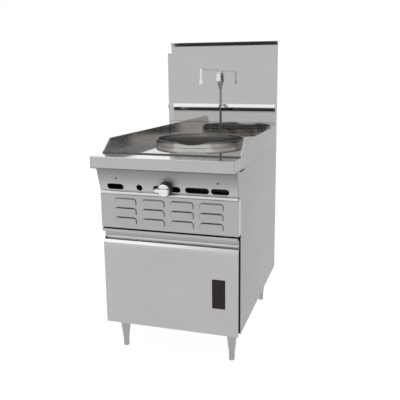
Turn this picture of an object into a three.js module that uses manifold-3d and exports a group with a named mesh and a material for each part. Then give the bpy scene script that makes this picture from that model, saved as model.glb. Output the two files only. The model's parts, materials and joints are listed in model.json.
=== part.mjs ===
// A gas wok range with one burner, as used in restaurant kitchens. Millimetres, +Z up.
// Inside this file y = 0 is the face of the front rail and y grows towards the back;
// the group at the end moves the whole range so that its origin is the bottom centre.

import * as THREE from 'three';
import { mergeVertices } from 'three/addons/utils/BufferGeometryUtils.js';
import Module from 'manifold-3d';

const wasm = await Module();
wasm.setup();

// ---------------------------------------------------------------- driving sizes

// Whole range
const rangeWidth = 610; // over the side panels (24 in)
const bodyDepth = 965; // rail face to the outside of the back sheets (38 in)
const deckHeight = 914; // floor to the cooking deck (36 in)
const legHeight = 152; // floor to the underside of the cabinet (6 in)
const sheet = 1.5; // stainless sheet
const clearance = 0.3; // between pieces that are bolted or laid together

// Cabinet
const cabinetSetback = 113; // rail face to the front edge of the side panels
const rearFrameWidth = 25; // strips of the frame that the back panel is screwed to
const frameSetback = 6; // front edge of the side panels to the door frame
const framePost = 26; // door frame, seen from the front
const frameDepth = 18;
const frameHeader = 22;
const trayHeight = 18; // turned up edges of the base pan
const rearSeamDrop = 7; // ledge to the seam of the back panel and the backguard
const pipeHolePlay = 0.6; // round the pipes that pass the back panel
const burnerFloorDrop = 320; // cooking deck down to the floor of the burner box

// Legs
const legInsetX = 51; // side of the range to the leg's axis
const frontLegY = 166;
const rearLegY = 828;
const legTopRadius = 27;
const legCollar = 8; // straight top of a leg
const legCollarStep = 3; // widening from the taper to the collar
const legShoulder = 26; // top of a leg down to its taper
const legFootRadius = 13.5;
const legCuff = 8; // lower end of a leg under its taper
const legCuffFlare = 1;
const footRadius = 13;
const footHeight = 36;
const footChamfer = 3;
const studRadius = 6;
const studLength = 54; // of the foot, inside the leg
const studRoom = 6; // in the leg, over the raised foot's stud
const legStudRise = 8; // leg's own stud above the leg channel
const legChannelWidth = 52;
const legChannelHeight = 14;
const legChannelPlay = 2; // at both ends of a channel

// Front rail and the panels under it
const railHeight = 51;
const railLedge = 109; // depth of the flat top of the rail
const railReturn = 60; // depth of the sheet turned back under the rail
const railTopRadius = 3;
const railBottomRadius = 6;
const ledgeStep = 2; // ledge below the cooking deck
const controlTopY = 47; // face of the control panel under the rail
const controlBottomY = 80;
const controlHeight = 103.5; // of its sloping face
const lipRadius = 8.5; // rolled lower edge of the control panel
const lipReturn = 20;
const sideWingDrop = 6.5; // side panel's front wing below the control panel's face
const lipSlit = 2; // between the wings of the side panel and of the louvre panel
const louvreFaceY = 77;
const doorGap = 6; // over the door
const endSlit = 6; // slit between the rail's end and the side panel
const endSlitStart = 99;
const endSlitEnd = 172;

// Openings of the control panel
const slotHeight = 25.4;
const slotDrop = 85.5; // underside of the rail to the middle of the slots
const outerSlotWidth = 76;
const leftSlotInset = 73; // side of the range to the middle of the slot
const rightSlotInset = 77;
const middleSlotWidth = 120;
const thirdSlotX = 131;
const thirdSlotWidth = 102;
const lightingHoleX = -122;
const lightingHoleRadius = 13.5;

// Louvres
const louvreWidth = 101;
const louvrePitchX = 127;
const louvreColumns = 4;
const louvreHeight = 29;
const louvrePitchZ = 41.4;
const louvreRows = 3;
const louvreReach = 8; // how far a louvre stands out at its open lower edge
const louvreShoulder = 5; // how far it stands out under its steep top
const louvreShoulderDrop = 5;
const louvreDraft = 7; // how far its sides and top lean inwards over its reach
const louvreTopDrop = 13; // top of the panel to the top of the first row
const louvreCorner = 16;

// Cooking deck and splash
const splashHeight = 55;
const splashSlope = 70; // length of the sloping front end
const splashThickness = 4;
const backSplashHeight = 75;
const deckGap = 2.3; // between the rail and the deck
const deckBead = 3; // raised front edge of the deck
const deckBeadWidth = 3.5;
const deckBeadSlope = 2.5;
const deckFold = 5; // front edge of the deck, below the ledge's sheet
const deckLedge = 15; // sheet under the edge of the deck

// Wok ring and fire chamber
const ringY = 530;
const ringRadius = 214;
const ringHeight = 26;
const ringWall = 4;
const ringNarrowing = 7; // outside of the rim to the bore of the skirt
const ringSkirt = 60; // part of the ring that hangs in the deck's hole
const ringSkirtWall = 2.5;
const ringPlay = 1.5; // between the ring's skirt and the edge of the hole
const dipWidth = 151; // dip in the front of the ring's rim
const dipDepth = 10;
const chamberWall = 4;
const chamberFlange = 25;
const chamberFlangeHeight = 3;
const chamberHeight = 97;
const chamberTaper = 25;

// Burner and gas train
const burnerRadius = 110;
const burnerHeight = 28;
const burnerDrop = 89; // cooking deck to the top of the burner
const burnerRim = 12; // straight edge of the burner
const burnerRimInside = 86; // radius where its hollow begins
const burnerDish = 15; // depth of the hollow
const burnerDishRadius = 46; // flat bottom of the hollow
const burnerBaseRadius = 55;
const inletBox = 52; // square mixing box under the burner
const inletBoxOverlap = 5; // of the box and the burner above it
const standWidth = 60;
const standPlate = 4;
const standFootWidth = 80;
const standFootDepth = 44;
const standFootHeight = 3;
const standSeatInset = 4; // inlet box less the stand's upper plate
const venturiRadius = 20;
const venturiWall = 3;
const venturiMouth = 8; // widening at the front end
const venturiMouthLength = 10;
const venturiThroat = 4; // narrowing behind the mouth
const venturiThroatAt = 60; // front end to the throat
const venturiStraightAt = 150; // front end to the straight run
const venturiLap = 6; // of the mouth over the orifice
const manifoldRadius = 13.35; // 3/4 in pipe
const manifoldY = 128;
const manifoldInset = 115; // left side of the range to the manifold's end
const supplyInset = 43; // right side of the range to the supply pipe's axis
const pipeWall = 2.9;
const pipeBend = 22;
const postInset = 30; // end of the manifold to the bracket's post
const postWidth = 20;
const postThickness = 4;
const bracketFootDepth = 20;
const bracketFootHeight = 3;
const valveLength = 38;
const valveHeight = 26.3;
const valveHalfWidth = 14;
const orificeLength = 18;
const orificeRadius = 8;
const orificeTipRadius = 4;
const stemInValve = 22; // depth of the stem's hole
const pilotValveWidth = 16;
const pilotValveHeight = 21;
const pilotValveFront = 10; // ahead of the manifold's axis
const pilotValveBack = 12;
const pilotOutletHeight = 12;
const pilotScrewRadius = 3;
const pilotDrop = 2; // top of the burner to the pilot burner's tip
const pilotTubeRadius = 3.2;
const pilotTubeBend = 14;
const pilotTubeLead = 48; // straight run behind the valve
const pilotTubeRun = 30; // level run under the pilot burner
const pilotTubeRise = 16;
const pilotBurnerHeight = 22;
const pilotBurnerRadius = 6;
const pilotInset = 96; // burner's axis to the pilot burner, both ways

// Knob
const knobRadius = 27;
const knobFaceY = 35;
const knobFaceDepth = 5;
const knobCrown = 1;
const knobEdge = 2; // rounded edge of the knob's face
const skirtRadius = 30;
const skirtBackY = 61;
const skirtThickness = 4;
const skirtRim = 6; // skirt's flange beyond its hub
const gripWidth = 18;
const gripHeight = 13;
const gripLeft = 36;
const gripRight = 23;
const stemRadius = 4;
const axisRise = 1.5; // middle of the slots to the knob's axis

// Door
const doorFaceY = 86;
const doorRightGap = 5; // side of the range to the door's right edge
const doorBottomDrop = 2; // door below the underside of the cabinet
const doorReturn = 12;
const pullFaceHeight = 66; // top of the door down to the flat face
const pullLipHeight = 12;
const pullLipDepth = 7;
const pullLipTurn = 6; // height of the lip's turned-down edge
const pullNose = 6; // top of the pull ahead of the door's face
const pullNoseHeight = 15;
const pullUpperDepth = 17;
const pullLowerDepth = 23;
const pullUpperHeight = 19;
const pullStep = 3; // height of the step between the channel's two depths
const pullNoseSlope = 2;
const pullFloorRise = 2; // top of the flat face to the channel's floor
const linerInset = 15;
const linerDepth = 12;
const hingeX = 6.5; // left edge of the door to the hinge pin
const hingeY = 101;
const pinRadius = 2.6;
const pinDepthLower = 12; // above the lower hinge plate
const pinDepthUpper = 10; // below the top of the door
const hingePlate = 20;
const hingePlateThickness = 3;
const hingePlateFront = 6; // ahead of the pin
const catchWidth = 15;
const catchHeight = 40;
const plateWidth = 57;
const plateHeight = 128;
const plateInset = 88; // right side of the range to the middle of the blank plate
const plateDrop = 188; // flat face's top to the middle of the blank plate

// Backguard
const backguardDepth = 61;
const lowerPanelHeight = 136; // deck to the lower bend of the ridge
const ridgeHeight = 36;
const ridgeReach = 18;
const backguardHeight = 449; // deck to the top of the front box
const rearPanelRise = 40; // rear panel's bend above the front box
const flareReach = 15;
const flareHeight = 19;
const panelFlange = 15;
const ridgeNotch = 3; // room for the riser in the ridge
const lowerPanelLap = 22; // lower panel below the ledge
const tabWidth = 20;
const tabHeight = 17;
const tabReach = 9;
const tabRise = 3; // lower edge of the rear panel to its tabs

// Water
const riserRadius = 4;
const wallStandoff = 1.5; // riser clear of the back splash
const riserNutHeight = 8;
const riserNutRadius = 5.2;
const faucetStandoff = 35; // faucet's axis to the backguard
const faucetHeight = 295; // deck to the underside of the faucet body
const faucetBodyHeight = 41;
const faucetBodyWidth = 21;
const faucetBevel = 3;
const spoutRise = 18;
const spoutReach = 317;
const spoutDrop = 50;
const spoutRadius = 4.5;
const spoutWall = 1.2;
const spoutBend = 9;
const collarRadius = 8;
const collarHeight = 8;
const collarChamfer = 2;
const nozzleRadius = 8.5;
const nozzleHeight = 23;
const nozzleBore = 3;
const nozzleShoulder = 6;
const bracketHeight = 44;
const bracketThickness = 9;
const bracketFront = 8; // ahead of the faucet's axis
const bracketPlate = 8; // thickness under the faucet body
const leverLength = 32;
const leverWidth = 7;
const leverThickness = 3;
const leverStub = 8; // faucet body to the handle
const leverStubRadius = 4.5;
const leverDrop = 12; // top of the faucet body to the stub's axis
const leverLean = 24; // degrees
const waterInletInset = 105; // right side of the range to the inlet's axis
const waterInletLength = 15; // inside the back panel
const waterInletDrop = 34; // deck to the water inlet's axis
const waterTubeRadius = 5;
const waterTubeBend = 14;
const waterPipeRadius = 10.65; // 1/2 in pipe

// ---------------------------------------------------------------- places worked out

const halfWidth = rangeWidth / 2;
const insideX = halfWidth - sheet - clearance; // widest piece between the side panels
const ledgeZ = deckHeight - ledgeStep;
const railBottom = ledgeZ - railHeight;
const sideTop = railBottom - clearance;
const rearSeamZ = ledgeZ - rearSeamDrop;
const backInner = bodyDepth - sheet - clearance; // back edge of the side panels
const fitBack = backInner - sheet - clearance; // pieces ahead of the rear frame
const fitFront = cabinetSetback + frameSetback; // pieces behind the side panels' front edges
const burnerFloorZ = deckHeight - burnerFloorDrop;
const ringBore = ringRadius - ringNarrowing;
const deckHoleRadius = ringBore + ringSkirtWall + ringPlay;
const frameTop = burnerFloorZ - sheet - clearance;
const controlTop = railBottom - clearance;
const controlBottom = controlTop - controlHeight;
const lipBottom = controlBottom - 2 * lipRadius;
const sideWingBottom = controlBottom - sideWingDrop;
const louvreTop = lipBottom - clearance;
const louvreBottom = burnerFloorZ;
const doorTop = louvreBottom - doorGap;
const doorBottom = legHeight - doorBottomDrop;
const doorLeft = -halfWidth;
const doorRight = halfWidth - doorRightGap;
const doorFaceTop = doorTop - pullFaceHeight;
const slotZ = railBottom - slotDrop;
const slots = [ // [centre x, width]
  [leftSlotInset - halfWidth, outerSlotWidth], [0, middleSlotWidth],
  [thirdSlotX, thirdSlotWidth], [halfWidth - rightSlotInset, outerSlotWidth],
];
const axisZ = slotZ + axisRise; // valve, stem and knob
const wallY = bodyDepth - backguardDepth + clearance; // front face of the backguard
const deckBack = wallY - clearance;
const backSplashY = deckBack - sheet;
const frontBoxTop = deckHeight + backguardHeight;
const riserY = backSplashY - wallStandoff - riserRadius;
const faucetY = wallY - faucetStandoff;
const faucetBottom = deckHeight + faucetHeight;
const faucetTop = faucetBottom + faucetBodyHeight;
const spoutZ = faucetTop + spoutRise;
const burnerTop = deckHeight - burnerDrop;
const manifoldZ = axisZ - valveHeight / 2 - manifoldRadius - clearance;
const supplyX = halfWidth - supplyInset;
const manifoldLeft = manifoldInset - halfWidth;
const manifoldRight = supplyX - pipeBend;
const waterInletX = halfWidth - waterInletInset;
const waterInletZ = deckHeight - waterInletDrop;

// ---------------------------------------------------------------- shapes

const alongX = new THREE.Matrix4().makeBasis(
  new THREE.Vector3(0, 1, 0), new THREE.Vector3(0, 0, 1), new THREE.Vector3(1, 0, 0));
const alongY = new THREE.Matrix4().makeBasis(
  new THREE.Vector3(0, 0, 1), new THREE.Vector3(1, 0, 0), new THREE.Vector3(0, 1, 0));

function outline(points) {
  return new THREE.Shape(points.map(([a, b]) => new THREE.Vector2(a, b)));
}

function extruded(shape, depth) {
  return new THREE.ExtrudeGeometry(shape, { depth, bevelEnabled: false, curveSegments: 8 });
}

// A flat outline of [y, z] points, pushed from x0 to x1.
function slabX(points, x0, x1) {
  return extruded(outline(points), x1 - x0).applyMatrix4(alongX).translate(x0, 0, 0);
}

// A flat outline of [x, z] points, pushed from y0 to y1.
function slabY(points, y0, y1) {
  const turned = points.map(([x, z]) => [z, x]);
  return extruded(outline(turned), y1 - y0).applyMatrix4(alongY).translate(0, y0, 0);
}

function box(x0, x1, y0, y1, z0, z1) {
  const geometry = new THREE.BoxGeometry(x1 - x0, y1 - y0, z1 - z0);
  return geometry.translate((x0 + x1) / 2, (y0 + y1) / 2, (z0 + z1) / 2);
}

function rodZ(x, y, z0, z1, radius, sides = 20, topRadius = radius) {
  const rod = new THREE.CylinderGeometry(topRadius, radius, z1 - z0, sides);
  return rod.rotateX(Math.PI / 2).translate(x, y, (z0 + z1) / 2);
}

function rodY(x, z, y0, y1, radius, sides = 20, backRadius = radius) {
  const rod = new THREE.CylinderGeometry(backRadius, radius, y1 - y0, sides);
  return rod.translate(x, (y0 + y1) / 2, z);
}

function rodX(y, z, x0, x1, radius, sides = 20) {
  const rod = new THREE.CylinderGeometry(radius, radius, x1 - x0, sides);
  return rod.rotateZ(Math.PI / 2).translate((x0 + x1) / 2, y, z);
}

// [radius, height] points turned about a vertical axis.
function turnedZ(x, y, points, segments = 32) {
  const profile = points.map(([r, z]) => new THREE.Vector2(r, z));
  return new THREE.LatheGeometry(profile, segments).rotateX(Math.PI / 2).translate(x, y, 0);
}

// [radius, y] points turned about an axis that runs from front to back.
function turnedY(x, z, points, segments = 32) {
  const profile = points.map(([r, y]) => new THREE.Vector2(r, y));
  return new THREE.LatheGeometry(profile, segments).translate(x, 0, z);
}

// The outline of a folded sheet: its outer line, with the thickness on the left of the way.
function foldedOutline(path, thickness) {
  const points = path.map(([a, b]) => new THREE.Vector2(a, b));
  const inner = points.map((point, i) => {
    const before = points[Math.max(i - 1, 0)];
    const after = points[Math.min(i + 1, points.length - 1)];
    const arrive = point.clone().sub(before).normalize();
    const leave = after.clone().sub(point).normalize();
    if (i === 0) arrive.copy(leave);
    if (i === points.length - 1) leave.copy(arrive);
    const side = new THREE.Vector2(-arrive.y - leave.y, arrive.x + leave.x).normalize();
    const stretch = thickness / (side.x * -arrive.y + side.y * arrive.x);
    return point.clone().addScaledVector(side, stretch);
  });
  return [...points, ...inner.reverse()].map((point) => [point.x, point.y]);
}

// The line half a sheet inside a folded sheet, so that an end plate's faces lie within it.
function middleLine(path) {
  return foldedOutline(path, sheet / 2).slice(path.length).reverse();
}

function foldedSheet(path, x0, x1) {
  return slabX(foldedOutline(path, sheet), x0, x1);
}

// [a, b] points on an arc, from one angle to another, in degrees.
function arc(a, b, radius, from, to, steps) {
  return Array.from({ length: steps + 1 }, (_, i) => {
    const angle = THREE.MathUtils.degToRad(from + ((to - from) * i) / steps);
    return [a + radius * Math.cos(angle), b + radius * Math.sin(angle)];
  });
}

// A flat oblong with round ends, as [x, z] points.
function obround(x, z, width, height) {
  const r = height / 2;
  const reach = width / 2 - r;
  return [...arc(x + reach, z, r, -90, 90, 8), ...arc(x - reach, z, r, 90, 270, 8)];
}

// A path through given points, with a section of the pipe at each of them.
class PointPath extends THREE.Curve {
  constructor(points) {
    super();
    this.points = points;
  }

  getPoint(t) {
    const at = t * (this.points.length - 1);
    const i = Math.min(Math.floor(at), this.points.length - 2);
    return this.points[i].clone().lerp(this.points[i + 1], at - i);
  }

  getPointAt(u) {
    return this.getPoint(u);
  }

  getTangentAt(u) {
    const i = Math.round(u * (this.points.length - 1));
    const before = this.points[Math.max(i - 1, 0)];
    const after = this.points[Math.min(i + 1, this.points.length - 1)];
    return after.clone().sub(before).normalize();
  }
}

// Corner points joined by straight runs and round bends, which start bend mm from the corner.
function bentPath(corners, bend) {
  const points = corners.map(([x, y, z]) => new THREE.Vector3(x, y, z));
  const way = [points[0]];
  for (let i = 1; i < points.length - 1; i += 1) {
    const corner = points[i];
    const room = Math.min(bend, corner.distanceTo(points[i - 1]) * 0.45,
      corner.distanceTo(points[i + 1]) * 0.45);
    const enter = corner.clone().add(points[i - 1].clone().sub(corner).setLength(room));
    const exit = corner.clone().add(points[i + 1].clone().sub(corner).setLength(room));
    way.push(...new THREE.QuadraticBezierCurve3(enter, corner, exit).getPoints(5));
  }
  return new PointPath([...way, points[points.length - 1]]);
}

function pipe(corners, bend, radius, { wall = 0, sides = 12 } = {}) {
  const section = outline(arc(0, 0, radius, 0, 360 - 360 / sides, sides - 1));
  if (wall > 0) {
    const bore = arc(0, 0, radius - wall, 0, 360 - 360 / sides, sides - 1).reverse();
    section.holes.push(new THREE.Path(bore.map(([a, b]) => new THREE.Vector2(a, b))));
  }
  const extrudePath = bentPath(corners, bend);
  return new THREE.ExtrudeGeometry(section, {
    steps: extrudePath.points.length - 1, bevelEnabled: false, extrudePath,
  });
}

// ---------------------------------------------------------------- joining and cutting

function solid(geometry) {
  const bare = geometry.index ? geometry.toNonIndexed() : geometry.clone();
  bare.deleteAttribute('normal');
  bare.deleteAttribute('uv');
  const merged = mergeVertices(bare, 1e-4);
  const corners = merged.index.array;
  const kept = [];
  for (let i = 0; i < corners.length; i += 3) {
    const [a, b, c] = [corners[i], corners[i + 1], corners[i + 2]];
    if (a !== b && b !== c && c !== a) kept.push(a, b, c);
  }
  return new wasm.Manifold(new wasm.Mesh({
    numProp: 3,
    vertProperties: new Float32Array(merged.attributes.position.array),
    triVerts: outwards(merged.attributes.position.array, new Uint32Array(kept)),
  }));
}

// The same triangles, turned over if they enclose a negative volume.
function outwards(places, corners) {
  const point = (i) => new THREE.Vector3(places[3 * i], places[3 * i + 1], places[3 * i + 2]);
  let volume = 0;
  for (let i = 0; i < corners.length; i += 3) {
    const [a, b, c] = [point(corners[i]), point(corners[i + 1]), point(corners[i + 2])];
    volume += a.dot(b.cross(c));
  }
  if (volume > 0) return corners;
  return corners.map((_, i) => corners[i - (i % 3) + [0, 2, 1][i % 3]]);
}

function geometryOf(manifold) {
  const mesh = manifold.getMesh();
  const geometry = new THREE.BufferGeometry();
  geometry.setAttribute('position', new THREE.BufferAttribute(mesh.vertProperties.slice(), 3));
  geometry.setIndex(new THREE.BufferAttribute(mesh.triVerts.slice(), 1));
  geometry.computeVertexNormals();
  return geometry;
}

function joined(first, ...others) {
  return geometryOf(others.reduce((sum, other) => sum.add(solid(other)), solid(first)));
}

function cut(body, ...tools) {
  return geometryOf(tools.reduce((rest, tool) => rest.subtract(solid(tool)), solid(body)));
}

// ---------------------------------------------------------------- materials and nodes

function steel(color, roughness) {
  return new THREE.MeshStandardMaterial({ color, roughness, metalness: 1 });
}

const brushed = () => steel(0xb6b6b3, 0.42);
const polished = () => steel(0xc4c4c2, 0.12);
const galvanised = () => steel(0x9a9c9c, 0.5);
const chrome = () => steel(0xdcdedf, 0.1);
const brass = () => steel(0xb08d4f, 0.35);
const blackIron = () => steel(0x34322f, 0.7);
const castIron = () => steel(0x45433f, 0.75);
const blackPlastic = () =>
  new THREE.MeshStandardMaterial({ color: 0x141414, roughness: 0.35, metalness: 0 });
const darkEnamel = () =>
  new THREE.MeshStandardMaterial({ color: 0x2a211e, roughness: 0.3, metalness: 0 });

const assembly = new THREE.Group();

function node(name, geometry, material) {
  const mesh = new THREE.Mesh(geometry, material);
  mesh.name = name;
  assembly.add(mesh);
}

const sides = [['left', -1], ['right', 1]];

// x from a to b on the left or right half, in rising order.
function span(side, a, b) {
  return side > 0 ? [a, b] : [-b, -a];
}

function mirroredBox(side, a, b, y0, y1, z0, z1) {
  const [x0, x1] = span(side, a, b);
  return box(x0, x1, y0, y1, z0, z1);
}

function mirroredSlab(side, points, a, b) {
  const [x0, x1] = span(side, a, b);
  return slabX(points, x0, x1);
}

// ---------------------------------------------------------------- cabinet

function sidePanel(side) {
  const slope = (controlBottomY - controlTopY) / (controlTop - controlBottom);
  const wingBottomY = controlBottomY - (sideWingBottom - controlBottom) * slope;
  const front = cabinetSetback;
  return mirroredSlab(side, [
    [front, legHeight], [backInner, legHeight], [backInner, sideTop],
    [endSlitEnd, sideTop], [endSlitEnd, sideTop - endSlit],
    [endSlitStart, sideTop - endSlit], [endSlitStart, sideTop],
    [controlTopY, sideTop], [wingBottomY, sideWingBottom], [front, sideWingBottom],
  ], halfWidth - sheet, halfWidth);
}

// Flat strips inside the sides, in the plane of the panels' rear edges.
function rearFrame() {
  const front = backInner - sheet;
  const outer = box(-insideX, insideX, front, backInner, legHeight, sideTop);
  const x = insideX - rearFrameWidth;
  return cut(outer, box(-x, x, front - 1, backInner + 1,
    legHeight + rearFrameWidth, sideTop - rearFrameWidth));
}

function basePan() {
  const y0 = fitFront + frameDepth + clearance;
  const tray = box(-insideX, insideX, y0, fitBack, legHeight, legHeight + trayHeight);
  const hollow = box(-insideX + sheet, insideX - sheet, y0 + sheet, fitBack - sheet,
    legHeight + sheet, legHeight + trayHeight + 1);
  return cut(tray, hollow, ...legPlaces().map(([, x, y]) =>
    rodZ(x, y, legHeight - 1, legHeight + 5, studRadius + 2 * clearance)));
}

function doorFrame() {
  const outer = box(-insideX, insideX, fitFront, fitFront + frameDepth, legHeight, frameTop);
  const opening = box(-halfWidth + sheet + framePost, halfWidth - sheet - framePost,
    fitFront - 1, fitFront + frameDepth + 1, legHeight + trayHeight, frameTop - frameHeader);
  return cut(outer, opening);
}

function backPanel() {
  const panel = box(-halfWidth, halfWidth, bodyDepth - sheet, bodyDepth, legHeight, rearSeamZ);
  const hole = (x, z, r) => rodY(x, z, bodyDepth - 5, bodyDepth + 5, r + pipeHolePlay);
  return cut(panel, hole(supplyX, manifoldZ, manifoldRadius),
    hole(waterInletX, waterInletZ, waterPipeRadius));
}

sides.forEach(([label, side]) => node(`side_panel_${label}`, sidePanel(side), brushed()));
node('rear_frame', rearFrame(), galvanised());
node('back_panel', backPanel(), galvanised());
node('base_pan', basePan(), galvanised());
node('door_frame', doorFrame(), darkEnamel());
node('burner_box_floor',
  box(-insideX, insideX, fitFront, fitBack, burnerFloorZ - sheet, burnerFloorZ), galvanised());

// ---------------------------------------------------------------- legs

function legPlaces() {
  const x = halfWidth - legInsetX;
  return [['front_left', -x, frontLegY], ['front_right', x, frontLegY],
    ['rear_left', -x, rearLegY], ['rear_right', x, rearLegY]];
}

function legChannel(y) {
  const z0 = legHeight + sheet + clearance;
  const z1 = z0 + legChannelHeight;
  const half = legChannelWidth / 2;
  const x = insideX - sheet - legChannelPlay;
  const channel = foldedSheet([[y + half, z0], [y + half, z1], [y - half, z1], [y - half, z0]], -x, x);
  const studs = legPlaces().filter(([, , legY]) => legY === y);
  return cut(channel, ...studs.map(([, legX]) => rodZ(legX, y, z0, z1 + 1, studRadius + clearance)));
}

function leg(x, y) {
  const top = legHeight - clearance;
  const bottom = footHeight + clearance;
  const studTop = legHeight + sheet + legChannelHeight + legStudRise;
  const bore = studRadius + clearance;
  const boreTop = footHeight + studLength + studRoom;
  return turnedZ(x, y, [
    [0, boreTop], [bore, boreTop], [bore, bottom],
    [legFootRadius, bottom], [legFootRadius + legCuffFlare, bottom + legCuff],
    [legTopRadius - legCollarStep, top - legShoulder],
    [legTopRadius, top - legCollar], [legTopRadius, top], [studRadius, top],
    [studRadius, studTop], [0, studTop],
  ], 28);
}

function foot(x, y) {
  return turnedZ(x, y, [
    [0, 0], [footRadius - footChamfer, 0], [footRadius, footChamfer],
    [footRadius, footHeight - footChamfer],
    [footRadius - footChamfer, footHeight], [studRadius, footHeight],
    [studRadius, footHeight + studLength], [0, footHeight + studLength],
  ], 24);
}

node('leg_channel_front', legChannel(frontLegY), galvanised());
node('leg_channel_rear', legChannel(rearLegY), galvanised());
legPlaces().forEach(([label, x, y]) => {
  node(`leg_${label}`, leg(x, y), brushed());
  node(`foot_${label}`, foot(x, y), brushed());
});

// ---------------------------------------------------------------- front

function frontRail() {
  const path = [
    [railLedge, ledgeZ], ...arc(railTopRadius, ledgeZ - railTopRadius, railTopRadius, 90, 180, 2),
    ...arc(railBottomRadius, railBottom + railBottomRadius, railBottomRadius, 180, 270, 4),
    [railReturn, railBottom],
  ];
  const shell = foldedSheet(path, -halfWidth + sheet / 2, halfWidth - sheet / 2);
  const [back, ...rest] = middleLine(path);
  const endBack = railLedge - sheet / 2;
  const end = [[endBack, back[1]], ...rest, [endBack, railBottom + sheet / 2]];
  return joined(shell, ...sides.map(([, side]) =>
    mirroredSlab(side, end, halfWidth - sheet, halfWidth)));
}

function controlPanel() {
  const face = foldedSheet([
    [controlTopY + lipReturn, controlTop], [controlTopY, controlTop],
    [controlBottomY, controlBottom],
    ...arc(controlBottomY, controlBottom - lipRadius, lipRadius, 100, 270, 8),
    [controlBottomY + lipReturn, lipBottom],
  ], -insideX, insideX);
  const through = (points) => slabY(points, controlTopY - 10, controlBottomY + 15);
  const openings = slots.map(([centre, width]) =>
    through(obround(centre, slotZ, width, slotHeight)));
  const hole = rodY(lightingHoleX, slotZ, controlTopY, controlBottomY + 15,
    lightingHoleRadius, 24);
  return cut(face, ...openings, hole);
}

// A louvre's outline with rounded upper corners, inset by a sheet or not, whose sides and top
// lean inwards towards the front. Its lower end lies under the louvre's, which is cut square.
function louvreBlock(x, z, inset) {
  const half = louvreWidth / 2 - inset;
  const top = z - inset;
  const bottom = z - louvreHeight - 2 * louvreDraft;
  const r = louvreCorner - inset;
  const points = [[x - half, bottom], [x + half, bottom],
    ...arc(x + half - r, top - r, r, 0, 90, 5), ...arc(x - half + r, top - r, r, 90, 180, 5)];
  const block = new THREE.ExtrudeGeometry(outline(points.map(([a, b]) => [b, a])), {
    depth: louvreReach * 2, curveSegments: 8, bevelSegments: 2, bevelThickness: louvreReach,
    bevelSize: louvreDraft, bevelOffset: -louvreDraft,
  });
  return block.applyMatrix4(alongY).translate(0, louvreFaceY + inset, 0);
}

function louvrePlaces() {
  const places = [];
  for (let row = 0; row < louvreRows; row += 1) {
    for (let column = 0; column < louvreColumns; column += 1) {
      const x = (column - (louvreColumns - 1) / 2) * louvrePitchX;
      places.push([x, louvreTop - louvreTopDrop - row * louvrePitchZ]);
    }
  }
  return places;
}

// A pressed hood that stands out towards its open lower edge.
function louvreHood(x, z) {
  const wedge = (inset, back, top, bottom) => slabX([
    [louvreFaceY - louvreReach + inset, bottom], [back, bottom], [back, top],
    [louvreFaceY + sheet / 2, top],
    [louvreFaceY - louvreShoulder + inset, top - louvreShoulderDrop],
  ], x - louvreWidth, x + louvreWidth);
  const bottom = z - louvreHeight;
  const outer = solid(wedge(0, louvreFaceY + sheet * 0.6, z, bottom))
    .intersect(solid(louvreBlock(x, z, 0)));
  const inner = solid(wedge(sheet, louvreFaceY + 3 * sheet, z - sheet, bottom - 1))
    .intersect(solid(louvreBlock(x, z, sheet)));
  return { outer, inner };
}

function louvrePanel() {
  const face = foldedSheet([
    [louvreFaceY + lipReturn, louvreTop], [louvreFaceY, louvreTop],
    [louvreFaceY, louvreBottom], [louvreFaceY + lipReturn, louvreBottom],
  ], -halfWidth + sheet / 2, halfWidth - sheet / 2);
  const back = cabinetSetback - clearance;
  const wingFront = louvreFaceY + sheet / 2;
  const wingBottom = louvreBottom + sheet / 2;
  const wingTop = sideWingBottom - lipSlit;
  const wing = [[wingFront, wingBottom], [back, wingBottom], [back, wingTop],
    [wingFront, wingTop]];
  const shell = joined(face, ...sides.map(([, side]) =>
    mirroredSlab(side, wing, halfWidth - sheet, halfWidth)));
  return geometryOf(louvrePlaces().reduce((panel, [x, z]) => {
    const { outer, inner } = louvreHood(x, z);
    return panel.add(outer).subtract(inner);
  }, solid(shell)));
}

node('front_rail', frontRail(), brushed());
node('control_panel', controlPanel(), brushed());
node('louvre_panel', louvrePanel(), brushed());

// ---------------------------------------------------------------- cooking deck

const deckFront = railLedge + deckGap;
const deckFlatFront = deckFront + deckBeadWidth + deckBeadSlope;

function wokDeck() {
  const bead = deckHeight + deckBead;
  const plate = foldedSheet([
    [deckBack, deckHeight], [deckFlatFront, deckHeight], [deckFront + deckBeadWidth, bead],
    [deckFront, bead], [deckFront, ledgeZ - sheet - deckFold],
  ], -insideX, insideX);
  const ringHole = rodZ(0, ringY, deckHeight - 5, deckHeight + 5,
    deckHoleRadius, 64);
  const riserHole = rodZ(0, riserY, deckHeight - 5, deckHeight + 5, riserRadius + clearance, 12);
  return cut(plate, ringHole, riserHole);
}

function splashSide(side) {
  const front = railLedge + clearance;
  const top = deckHeight + splashHeight;
  const rise = splashHeight / splashSlope;
  const hemFront = deckFlatFront + 1;
  const outer = mirroredSlab(side, [
    [front, railBottom], [deckBack - clearance, railBottom], [deckBack - clearance, top],
    [front + splashSlope, top], [front, deckHeight],
  ], halfWidth - sheet, halfWidth);
  const hem = mirroredSlab(side, [
    [hemFront, deckHeight + clearance], [deckBack - clearance, deckHeight + clearance],
    [deckBack - clearance, top], [front + splashSlope, top],
    [hemFront, deckHeight + (hemFront - front) * rise],
  ], halfWidth - splashThickness, halfWidth - sheet / 2);
  const ledgeTop = deckHeight - sheet - clearance;
  const ledge = mirroredBox(side, halfWidth - sheet - deckLedge, halfWidth - sheet / 2,
    deckFlatFront + 4, deckBack - 4, ledgeTop - sheet, ledgeTop);
  return joined(outer, hem, ledge);
}

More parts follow.
